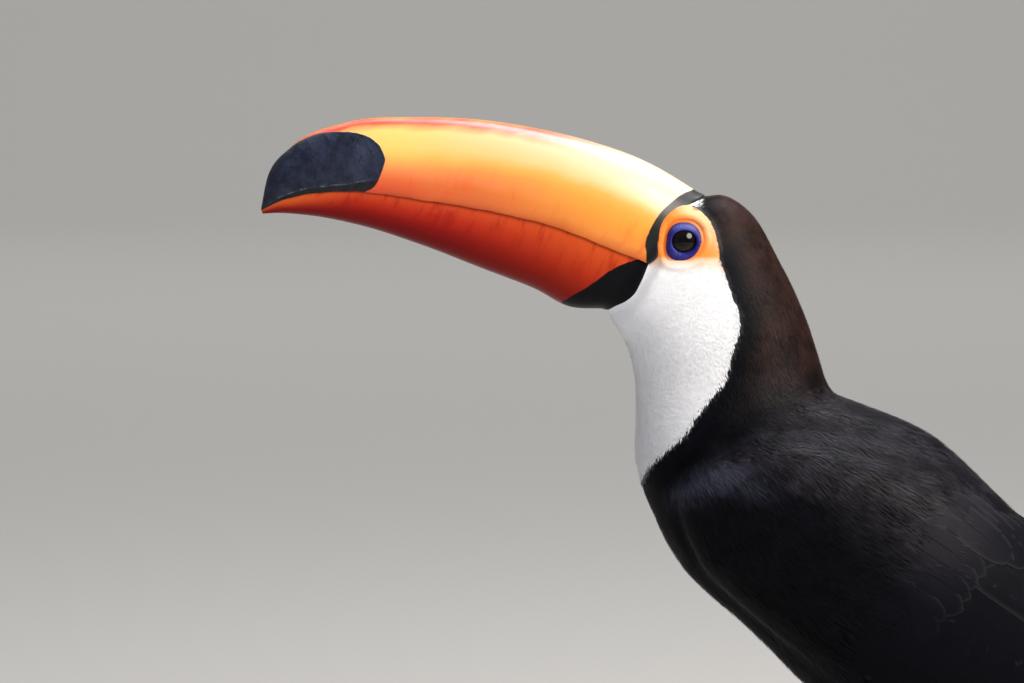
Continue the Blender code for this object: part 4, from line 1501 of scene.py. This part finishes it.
def open_past_vanes(skin, pieces):
    """Lets the small feathers grow on wherever no long feather of the wings lies over the skin."""
    trees = [surface_of(piece.data) for piece in pieces]
    points = coords(skin)
    outward = normals(skin)
    along = BODY_LINE.locate(points)[0] / MM
    cover = get_attribute(skin, "cover", 1)
    past = np.zeros(len(points))
    for i in np.flatnonzero((along > VANE_ENDS) & (cover < 1)):
        spot = Vector(points[i])
        way = Vector(outward[i])
        past[i] = not any(tree.ray_cast(spot, way, VANE_REACH)[0] for tree in trees)
    set_attribute(skin, "cover", np.maximum(cover, past))
    set_attribute(skin, "depth", get_attribute(skin, "depth", 1) - VANE_ROOM * past)
    patch = np.empty(len(skin.polygons), np.int32)
    skin.attributes["patch"].data.foreach_get("value", patch)
    open_faces = np.array([past[list(face.vertices)].max() > 0 for face in skin.polygons])
    patch[(patch == 0) & open_faces] = COAT["rump"][0]
    set_attribute(skin, "patch", patch, "INT", "FACE")


def lay_row(vanes, read, outline, row, random):
    """Lays one row of feathers over the skin, each over the one below it."""
    low, high, first, last, count, length_low, length_high, width, at_root, at_tip = row[1:]
    for i in range(count):
        t = i / (count - 1)
        along = low + (high - low) * t + random.uniform(-2.0, 2.0)
        share = first + (last - first) * t
        length = length_low + (length_high - length_low) * t + random.uniform(-1, 1)
        start = outline.spot(read.tree, along, share)
        _, up = read(start[None])
        heading = lie_of_feathers(start[None], up)[0]
        path, ups, sides = walk(read, start, heading, length)
        share_down = np.linspace(0, 1, len(path))
        lift = 1.3 * share
        rises = at_root + (at_tip - at_root) * share_down**0.8 + lift * (1 - 0.2 * share_down)
        rises -= (rises + 0.9) * (1 - ease(0.0, 0.42 if length < 60 else 0.2, share_down))
        vanes.add(path, ups, sides, length, width * random.uniform(0.94, 1.06), rises, arch=0.10,
                  tilt=-0.11 * outline.sign, read=read, tint=random.uniform(0.2, 0.8),
                  square=0.72 if length > 60 else 0.5)


# Tail feathers from the middle pair outwards: how far the tip stands out sideways, its length from
# the root, and how far below the pair over it.
TAIL_PAIRS = [(3.5, 92.0, 0.0), (9.5, 90.5, 0.6), (15.0, 88.0, 1.15), (20.0, 84.0, 1.7), (24.5, 79.0, 2.2)]
# The tail's middle line as (x, z).
TAIL_LINE = [
    (162.0, 74.5), (176.0, 73.2), (188.0, 70.6), (206.0, 64.6), (224.0, 58.2), (242.0, 50.6), (254.2, 45.2),
]
TAIL_STATIONS = 16
TAIL_WIDTH = 16.5


def vane_piece(name, vanes, nodes=()):
    """A finished piece of long feathers."""
    return add_piece(name, vanes.mesh(name), nodes, "black_feathers", material("vane"))


def lay_tail(vanes, random):
    """Lays the tail feathers, the outer pairs first, each pair over the one outside it."""
    points = np.array(TAIL_LINE)
    knots = along_line(points)
    line = np.column_stack([knots, points])
    for pair, (out, length, drop) in reversed(list(enumerate(TAIL_PAIRS))):
        for sign in (-1, 1):
            share = np.linspace(0, 1, TAIL_STATIONS)
            places = table(line, share * length)
            side_way = 5.5 + (out - 5.5) * ease(-0.3, 0.9, share) if pair else 2.0 + 3.0 * share
            level = places[:, 1] - drop * (0.4 + 0.6 * share) - 0.02 * side_way**1.5
            path = np.stack([places[:, 0], sign * side_way, level], axis=1) * MM
            ways = unit(np.gradient(path, axis=0))
            ups = unit(np.cross(ways, np.cross([0, 0, 1.0], ways)))
            sides = np.cross(ups, ways)
            rises = np.full(TAIL_STATIONS, 0.6) - (0.25 if sign > 0 else 0.0)
            vanes.add(path, ups, sides, length, TAIL_WIDTH, rises, arch=0.7, thick=0.45, square=0.8,
                      tint=random.uniform(0.2, 0.6), root=8)


def lay_tail_coverts(vanes, read, random):
    """Lays the small feathers that run from the root of the tail out over and under its long ones."""
    line = np.array(TAIL_LINE)
    for start, reach, count in ((136.0, 30.0, 22), (147.0, 32.0, 22), (157.0, 34.0, 22), (166.0, 34.0, 22)):
        for i in range(count):
            angle = 2 * pi * (i + 0.5 * (start % 2) + random.uniform(-0.2, 0.2)) / count
            out = np.array([0.0, sin(angle), cos(angle)])
            middle = np.array([start, 0.0, 75.0]) * MM
            hit = np.array(read.tree.ray_cast(Vector(middle + out * 0.1), Vector(-out))[0])
            _, up = read(hit[None])
            far = start + reach + random.uniform(-2, 2)
            base = table(line, [min(far, 250.0)])[0, 0]
            flat = np.array([1.0, 15.0, 2.2 if cos(angle) > 0 else 5.0])
            end = (np.array([far, 0.0, base - (0.0 if cos(angle) > 0 else 1.2)]) + out * flat) * MM
            leave = lie_of_feathers(hit[None], up)[0] * reach * 0.6 * MM
            arrive = np.array([0.93, 0.0, -0.36]) * reach * 0.6 * MM
            s = np.linspace(0, 1, 9)[:, None]
            path = hit * (1 + 2 * s) * (1 - s) ** 2 + leave * s * (1 - s) ** 2
            path += end * s * s * (3 - 2 * s) + arrive * s * s * (s - 1)
            ways = unit(np.gradient(path, axis=0))
            ups = up * (1 - s) + unit(out / flat) * s
            ups = unit(ups - ways * (ups * ways).sum(axis=1)[:, None])
            rises = 0.5 + 0.5 * np.sin(pi * s[:, 0])
            vanes.add(path, ups, np.cross(ups, ways), reach, 9.0, rises, arch=0.3, thick=0.2,
                      tint=random.uniform(0.2, 0.8), square=0.4)


# ---------------------------------------------------------------- legs

# Middle line of the right shank, from inside the thigh's feathers down to the foot.
SHANK = [
    (19.8, 25.2, 56.0), (21.2, 27.0, 47.6), (19.5, 27.3, 42.0), (13.0, 27.6, 33.0), (1.5, 27.9, 18.0),
    (-6.0, 28.0, 8.6), (-7.5, 28.0, 5.0),
]
TOES = [(27.0, -13.0), (38.0, 11.0), (32.0, 154.0), (20.0, -160.0)]  # length, degrees outwards from ahead
FOOT = (-7.0, 28.0, 3.0)  # where the right foot's toes start
SHANK_SCUTE = 3.1  # spacing of the cross scales down the shank and along the toes
TOE_SCUTE = 2.3
LEG_VOXEL = 0.5 * MM


def leg_lines(sign):
    """Middle lines of the shank and the toes, the way their scales face, and the scales' spacing."""
    shank = np.array(SHANK) * (1, sign, 1)
    lines = [(shank, np.array([-0.8, 0.0, 0.6]), SHANK_SCUTE)]
    for length, heading in TOES:
        ahead = np.array([-cos(radians(heading)), sign * sin(radians(heading)), 0.0])
        ends = np.array([FOOT]) * (1, sign, 1) + ahead * np.array([[0.0], [length + 2.0]])
        lines.append((ends, np.array([0.0, 0.0, 1.0]), TOE_SCUTE))
    return lines


def scale_leg(points, sign):
    """How far the leg's scales stand out at each point, how deep in a groove it is, and whether it's on
    the scaled front."""
    nearest = np.full(len(points), np.inf)
    rise = np.zeros((len(points), 3))
    for line, facing, pitch in leg_lines(sign):
        knots = along_line(line)
        places = np.linspace(0, knots[-1], 90)
        line = np.column_stack([np.interp(places, knots, line[:, axis]) for axis in range(3)])
        ways = unit(np.gradient(line, axis=0))
        away = np.linalg.norm(points[:, None] / MM - line[None], axis=2)
        i = away.argmin(axis=1)
        near = away[np.arange(len(points)), i]
        off = points / MM - line[i]
        ahead = (off * ways[i]).sum(axis=1)
        out = unit(off - ways[i] * ahead[:, None])
        fronts = unit(facing - ways[i] * (ways[i] @ facing)[:, None])
        turn = np.arccos(np.clip((out * fronts).sum(axis=1), -1, 1))
        step = (places[i] + ahead) / pitch
        step = step - np.floor(step)
        plate = 1 - np.abs(2 * step - 1) ** 7
        front = 1 - ease(1.05, 1.3, turn)
        found = np.column_stack([front * (0.24 * plate + 0.12 * step), front * (1 - plate), front])
        closer = near < nearest
        nearest[closer] = near[closer]
        rise[closer] = found[closer]
    return rise


def leg_mesh(side):
    """A shank and its toes with cross scales, run up into the thigh's feathers."""
    shape = bmesh.new()
    flesh_solid(shape, "leg_" + side)
    sign = SIDES[side]
    low, high = (Vector((x, y * sign, z)) * MM for x, y, z in (SHANK[1], SHANK[0]))
    turned = (high - low).to_track_quat("Z", "Y").to_matrix().to_4x4()
    turned.translation = (low + high) / 2
    bmesh.ops.create_cone(shape, cap_ends=True, segments=20, radius1=5.2 * MM, radius2=4.6 * MM,
                          depth=(high - low).length + 2 * MM, matrix=turned)
    mesh = evened(shape, LEG_VOXEL)
    points = relax(mesh, coords(mesh), 12)
    set_coords(mesh, points)
    rise, groove, front = scale_leg(points, sign).T
    points = points + normals(mesh) * (rise * MM)[:, None]
    points[:, 2] = np.maximum(points[:, 2], 0.0)
    set_coords(mesh, points)
    set_attribute(mesh, "groove", groove)
    set_attribute(mesh, "front", front)
    mesh.shade_smooth()
    return mesh


CUFF = [(0.0, 7.2), (6.0, 6.3), (12.0, 5.2), (17.0, 4.8), (22.0, 4.6)]  # reach down the leg, radius


def lay_cuff(vanes, sign, random):
    """A short, ragged edge of small feathers that hangs from the thigh over the top of the shank."""
    top = np.array([18.6, 24.4 * sign, 60.0])
    axis = unit(np.array([21.4, 27.6 * sign, 46.0]) - top)
    beside = unit(np.cross(axis, [1.0, 0.0, 0.0]))
    for start, length, count in ((0.0, 11.0, 24), (1.0, 15.0, 24)):
        for i in range(count):
            angle = 2 * pi * (i + 0.5 * (start > 0) + random.uniform(-0.25, 0.25)) / count
            out = beside * cos(angle) + np.cross(axis, beside) * sin(angle)
            share = np.linspace(0, 1, 7)
            reach = start + (length + random.uniform(-2.5, 1.5)) * share
            path = (top + axis * reach[:, None] + out * table(CUFF, reach)) * MM
            ways = unit(np.gradient(path, axis=0))
            ups = unit(out - ways * (ways @ out)[:, None])
            vanes.add(path, ups, np.cross(ups, ways), length, 2.4, np.full(7, 0.3), arch=0.3, thick=0.2,
                      tint=random.uniform(0.2, 0.8), square=0.25)


CLAW_ROOT = 1.2 * MM  # how much of a claw counts as its root
CLAW_SUNK = 1.6  # how far the root is pushed into the toe, in mm


def claw_mesh():
    """All eight claws, rounded from their solids and rooted a little way inside the toes."""
    shape = bmesh.new()
    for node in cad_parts:
        if node.startswith("claw"):
            part = merged_solid(node)
            bmesh.ops.recalc_face_normals(part, faces=part.faces)
            x, y, z = FOOT
            root = Vector((x, y * (1 if "right" in node else -1), z)) * MM
            spots = [v.co.copy() for v in part.verts]
            near = min((spot - root).length for spot in spots) + CLAW_ROOT
            for i, spot in enumerate(spots):
                if (spot - root).length < near:
                    spots[i] = spot + (root - spot).normalized() * CLAW_SUNK * MM
            add_solid(shape, part, spots)
    made = modified("claws", mesh_of("claws", shape), "SUBSURF", levels=1, render_levels=1)
    made.shade_smooth()
    return made


class ToucanSizes(bpy.types.PropertyGroup):
    """Sizes and colours that a user would change."""

    floor_colour: FloatVectorProperty(
        name="Floor Colour", description="Colour of the pale floor", subtype="COLOR", size=3,
        default=hexa("#A5A39F")[:3], min=0, max=1,
    )
    camera_distance: FloatProperty(
        name="Camera Distance", description="From the camera to the middle of the view", default=2.56,
        unit="LENGTH",
    )


class TOUCAN_OT_skin(bpy.types.Operator):
    """Builds the one skin over the body, with the lids and the bare face"""

    bl_idname = "toucan.skin"
    bl_label = "Skin"

    def execute(self, context):
        mesh = skin_mesh()
        refine_face(mesh)
        points = coords(mesh)
        marks = markings(points)
        depth = coat_depth(points, marks)
        points = points - normals(mesh) * depth[:, None]
        points = points + normals(mesh) * wing_relief(points)[:, None]
        thin = 1 - 0.55 * ease(140 * MM, 176 * MM, points[:, 0])
        middle = table(TAIL_LINE, np.clip(points[:, 0] / MM, 120, 178))[:, 0] * MM
        points[:, 2] = np.where(thin < 1, middle + (points[:, 2] - middle) * thin, points[:, 2])
        points = meet_bill(points)
        near_bill = ease(-30 * MM, -50 * MM, points[:, 0])
        points = relax(mesh, points, 4, 0.5, near_bill)
        points = model_lids(points)
        set_coords(mesh, points)
        marks = markings(points)
        outward = normals(mesh)
        raised = VANE_ROOM * np.clip(over_vanes(points) * 2, 0, 1)
        over = 1.25 - 0.75 * ease(-1, 3, marks["bib"])
        floor = 0.0003 - 0.00018 * ease(-1, 3, marks["bib"])
        set_attribute(mesh, "depth", np.maximum(coat_depth(points, marks) * over, floor) + raised)
        set_attribute(mesh, "lie", lie_of_feathers(points, outward), "FLOAT_VECTOR")
        along = BODY_LINE.locate(points)[0] / MM
        lengths = table(FEATHER_LENGTH, along)[:, 0]
        bib_lengths = np.minimum(lengths, 3.2 + 1.4 * ease(2, 9, marks["bib"]))
        lengths = np.where(marks["bib"] > -2, bib_lengths, lengths)
        lengths *= 1 - 0.5 * ease(78, 66, points[:, 2] / MM) * (points[:, 0] < 0.04)
        set_attribute(mesh, "feather_length", lengths * MM)
        over_face = (points[:, 2] / MM < FACE_FLOOR + 3) & (points[:, 0] / MM < -51)
        ring = np.full(len(points), 9.0)
        for side, sign in SIDES.items():
            centre, _ = eye_place(side)
            here = points[:, 1] * sign > 0
            ring[here] = eye_rings(points[here], centre)[1]
        cover = ease(-1.3, -0.6, -marks["face"])
        cover = np.maximum(cover, 0.7 * over_face * ease(-2.4, 0.3, -marks["face"]))
        cover *= 1 - np.clip(over_vanes(points) * 1.25, 0, 1)
        set_attribute(mesh, "cover", cover * (behind_bill(points) > 0.2) * (ring > 1.14))
        set_attribute(mesh, "white", np.maximum(ease(-0.4, 0.4, marks["bib"]), marks["rump"]))
        set_attribute(mesh, "red", marks["vent"])
        # These also carry the mantle's painted sheen and the wing bend's painted highlight.
        for name in ("brown", "dusk", "bend"):
            set_attribute(mesh, name, marks[name])
        fade = 1 - ease(0.0, 2.2, points[:, 2] / MM - FACE_FLOOR)
        set_attribute(mesh, "peach", marks["peach"] * fade)
        set_attribute(mesh, "ring", ring)
        set_attribute(mesh, "face_in", marks["face"])
        centre, _ = eye_place("right")
        # How far up and back the face's skin is painted paler: partly its own tone, partly a painted
        # highlight.
        pale = ease(7.0, 23.0, (points[:, 2] - centre.z) / MM + 1.2 * (points[:, 0] - centre.x) / MM)
        set_attribute(mesh, "pale_top", pale)
        corners = [tuple(f.vertices) for f in mesh.polygons]
        middles = np.array([points[list(c)].mean(axis=0) for c in corners])
        face_marks = markings(middles)
        set_attribute(mesh, "patch", patch_numbers(middles, face_marks), "INT", "FACE")
        bare = (face_marks["face"] > -1.6).astype(np.int32)
        mesh.polygons.foreach_set("material_index", bare)
        mesh.shade_smooth()
        covered = [node for node in FLESH if not node.startswith("wing") and node != "tail"]
        add_piece("skin", mesh, covered, "crown_feathers", material("down"), material("face"))
        return {"FINISHED"}


class TOUCAN_OT_bill(bpy.types.Operator):
    """Builds the two halves of the bill"""

    bl_idname = "toucan.bill"
    bl_label = "Bill"

    def execute(self, context):
        for name, upper in (("bill_upper", True), ("bill_lower", False)):
            finish = ("upper" if upper else "lower") + "_bill_horn"
            add_piece("horn_" + name, bill_mesh("horn_" + name, upper), (name,), finish, material(finish))
        return {"FINISHED"}


class TOUCAN_OT_eyes(bpy.types.Operator):
    """Builds the two wet eyes"""

    bl_idname = "toucan.eyes"
    bl_label = "Eyes"

    def execute(self, context):
        for side, sign in SIDES.items():
            centre, radius = eye_place(side)
            shape = bmesh.new()
            bmesh.ops.create_uvsphere(shape, u_segments=64, v_segments=40, radius=radius)
            mesh = mesh_of("eyeball_" + side, shape)
            points = coords(mesh)
            points = np.stack([points[:, 0], points[:, 2] * sign, points[:, 1] * -sign], axis=1)
            out = np.hypot(points[:, 0] / (EYE_OPENING[0] * MM), points[:, 2] / (EYE_OPENING[1] * MM))
            front = points[:, 1] * sign > 0
            # The cornea bulges a little past the ball.
            points[:, 1] += np.where(front, sign * 0.35 * MM * np.clip(1 - out, 0, 1) ** 1.2, 0)
            set_coords(mesh, points + np.array(centre))
            set_attribute(mesh, "from_pupil", np.where(front, out, 2.0))
            mesh.shade_smooth()
            add_piece("eyeball_" + side, mesh, ("eye_" + side,), "wet_eye", material("eye"))
        return {"FINISHED"}


class TOUCAN_OT_coat(bpy.types.Operator):
    """Grows the small body feathers over the skin, patch by patch"""

    bl_idname = "toucan.coat"
    bl_label = "Body Feathers"

    def execute(self, context):
        skin = bpy.data.objects["skin"]
        tuft = barb_tuft()
        tree = plumage_tree()
        for name, (patch, spacing, width, thick, turn) in COAT.items():
            on_throat = name.startswith("throat")
            mesh = grown("coat_" + name, tree, skin, {
                "Skin": skin, "Tuft": tuft, "Patch": patch, "Spacing": spacing * MM, "Width": width * MM,
                "Thickness": thick * MM, "Turn": turn, "Seed": SEED + patch,
                "Finish": material("white_down" if on_throat else "feather_barbs"),
            })
            roots = get_attribute(mesh, "root", 3)
            along = get_attribute(mesh, "along", 1)
            across = np.column_stack([get_attribute(mesh, "tint", 1) - 0.5, along - 0.5])
            dress(mesh, roots, across)
            for extra in SPENT:
                if mesh.attributes.get(extra):
                    mesh.attributes.remove(mesh.attributes[extra])
            mesh.shade_smooth()
            add_piece("coat_" + name, mesh, (), "throat_feathers" if on_throat else "black_feathers")
        bpy.data.objects.remove(tuft)
        return {"FINISHED"}


class TOUCAN_OT_wings(bpy.types.Operator):
    """Lays the wings' coverts and flight feathers, row by row"""

    bl_idname = "toucan.wings"
    bl_label = "Wings"

    def execute(self, context):
        skin = bpy.data.objects["skin"].data
        read = probe(skin)
        random = np.random.default_rng(SEED)
        pieces = []
        for side in SIDES:
            outline = WingOutline(side)
            layers = (("wing_feathers_", WING_ROWS, ("wing_" + side,)), ("scapulars_", SCAPULAR_ROWS, ()))
            for name, rows, nodes in layers:
                vanes = Vanes()
                for row in rows:
                    lay_row(vanes, read, outline, row, random)
                pieces.append(vane_piece(name + side, vanes, nodes))
        open_past_vanes(skin, pieces)
        return {"FINISHED"}


class TOUCAN_OT_tail(bpy.types.Operator):
    """Lays the ten tail feathers as a closed fan"""

    bl_idname = "toucan.tail"
    bl_label = "Tail"

    def execute(self, context):
        vanes = Vanes()
        random = np.random.default_rng(SEED + 1)
        lay_tail(vanes, random)
        vane_piece("tail_feathers", vanes, ("tail",))
        vanes = Vanes()
        lay_tail_coverts(vanes, probe(bpy.data.objects["skin"].data), random)
        vane_piece("tail_coverts", vanes)
        return {"FINISHED"}


class TOUCAN_OT_legs(bpy.types.Operator):
    """Builds the scaled legs and toes, with the feathers' edge over each shank"""

    bl_idname = "toucan.legs"
    bl_label = "Legs"

    def execute(self, context):
        for side, sign in SIDES.items():
            add_piece("leg_skin_" + side, leg_mesh(side), ("leg_" + side,), "leg_scales", material("leg"))
            vanes = Vanes()
            lay_cuff(vanes, sign, np.random.default_rng(SEED + 2))
            vane_piece("thigh_edge_" + side, vanes)
        return {"FINISHED"}


class TOUCAN_OT_claws(bpy.types.Operator):
    """Builds the eight claws"""

    bl_idname = "toucan.claws"
    bl_label = "Claws"

    def execute(self, context):
        mesh = claw_mesh()
        nodes = [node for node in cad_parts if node.startswith("claw")]
        add_piece("claws", mesh, nodes, "claw_horn", material("claw"))
        return {"FINISHED"}


class TOUCAN_OT_stage(bpy.types.Operator):
    """Sets up the pale floor, the soft lights and the camera"""

    bl_idname = "toucan.stage"
    bl_label = "Stage"

    def execute(self, context):
        build_stage(context.scene.toucan)
        return {"FINISHED"}


AIM = Vector((-0.1418, 0.0, 0.2378))  # middle of the camera's view
CAMERA_RISE = 4.5  # degrees above level
LENS = 200.0
FLOOR = {"wide": 9.0, "near": -4.0, "far": 5.0, "tall": 6.0, "bend": 2.5}
BIRD_MIDDLE = (-0.05, 0.0, 0.2)
# Lights: name, place, aim, size, watts, colour, and whether they show in glossy surfaces.
LIGHTS = (
    ("key_softbox", (0.85, -0.80, 1.20), BIRD_MIDDLE, (0.95, 0.95), 38.0, "#FFF9F1", True),
    ("top_softbox", (0.22, 0.40, 1.50), (-0.08, 0.0, 0.3), (0.9, 0.6), 15.0, "#F8F9FF", True),
    ("front_fill", (-0.9, -2.4, 0.7), BIRD_MIDDLE, (2.0, 1.6), 14.0, "#F2F4FF", False),
    ("side_fill", (-1.7, -0.9, 0.12), BIRD_MIDDLE, (1.2, 0.9), 3.0, "#EEF0FF", False),
    ("backdrop_softbox", (0.0, 3.0, 4.5), (0.0, 6.0, 0.0), (8.0, 2.0), 260.0, "#FFFFFF", True),
)


def area_light(name, place, aim, size, power, colour, glossy):
    lamp = bpy.data.lights.new(name, "AREA")
    lamp.shape = "ELLIPSE"
    lamp.size, lamp.size_y = size
    lamp.energy = power
    lamp.color = hexa(colour)[:3]
    holder = bpy.data.objects.new(name, lamp)
    bpy.context.scene.collection.objects.link(holder)
    holder.location = place
    holder.rotation_euler = (Vector(aim) - Vector(place)).to_track_quat("-Z", "Y").to_euler()
    holder.visible_glossy = glossy


def build_stage(sizes):
    """Builds the floor, the camera, the lights and the faint light from all round."""
    scene = bpy.context.scene
    # A floor that turns up into a wall far behind the bird.
    far, bend = FLOOR["far"], FLOOR["bend"]
    profile = [(FLOOR["near"], 0.0)]
    for turn in np.linspace(0, pi / 2, 17):
        profile.append((far + bend * sin(turn), bend * (1 - cos(turn))))
    profile.append((far + bend, FLOOR["tall"]))
    points = [(x, y, z) for y, z in profile for x in (-FLOOR["wide"], FLOOR["wide"])]
    faces = [(2 * i, 2 * i + 1, 2 * i + 3, 2 * i + 2) for i in range(len(profile) - 1)]
    # Matt floor paint: one even pale grey, almost without gloss.
    floor_paint, _, shader = new_material("matt_floor_paint")
    feed(shader, {"Base Color": (*sizes.floor_colour, 1.0), "Roughness": 0.9})
    new_object("floor", mesh_from("floor", points, faces), (floor_paint,))
    camera = bpy.data.objects.new("camera", bpy.data.cameras.new("camera"))
    scene.collection.objects.link(camera)
    camera.data.lens = LENS
    camera.data.sensor_width = 36.0
    camera.data.clip_end = 100.0
    rise = radians(CAMERA_RISE)
    camera.location = AIM + sizes.camera_distance * Vector((0, -cos(rise), sin(rise)))
    camera.rotation_euler = (pi / 2 - rise, 0, 0)
    scene.camera = camera
    for light in LIGHTS:
        area_light(*light)
    world = bpy.data.worlds.new("studio")
    world.use_nodes = True
    feed(world.node_tree.nodes["Background"], {"Color": "#D9DDE4", "Strength": 0.30})
    scene.world = world
    scene.view_settings.view_transform = "Standard"


class TOUCAN_PT_panel(bpy.types.Panel):
    """Lists the steps that build the bird"""

    bl_idname = "TOUCAN_PT_panel"
    bl_label = "Toucan"
    bl_space_type = "VIEW_3D"
    bl_region_type = "UI"
    bl_category = "Toucan"

    def draw(self, context):
        layout = self.layout
        for name in ToucanSizes.__annotations__:
            layout.prop(context.scene.toucan, name)
        for step in STEPS:
            layout.operator(step.bl_idname)


STEPS = (
    TOUCAN_OT_skin, TOUCAN_OT_bill, TOUCAN_OT_eyes, TOUCAN_OT_wings, TOUCAN_OT_coat, TOUCAN_OT_tail,
    TOUCAN_OT_legs, TOUCAN_OT_claws, TOUCAN_OT_stage,
)
CLASSES = (ToucanSizes, *STEPS, TOUCAN_PT_panel)


def register():
    for kind in CLASSES:
        bpy.utils.register_class(kind)
    bpy.types.Scene.toucan = bpy.props.PointerProperty(type=ToucanSizes)


def unregister():
    del bpy.types.Scene.toucan
    for kind in reversed(CLASSES):
        bpy.utils.unregister_class(kind)


def main():
    register()
    for step in STEPS:
        group, name = step.bl_idname.split(".")
        getattr(getattr(bpy.ops, group), name)()


if __name__ == "__main__":
    main()
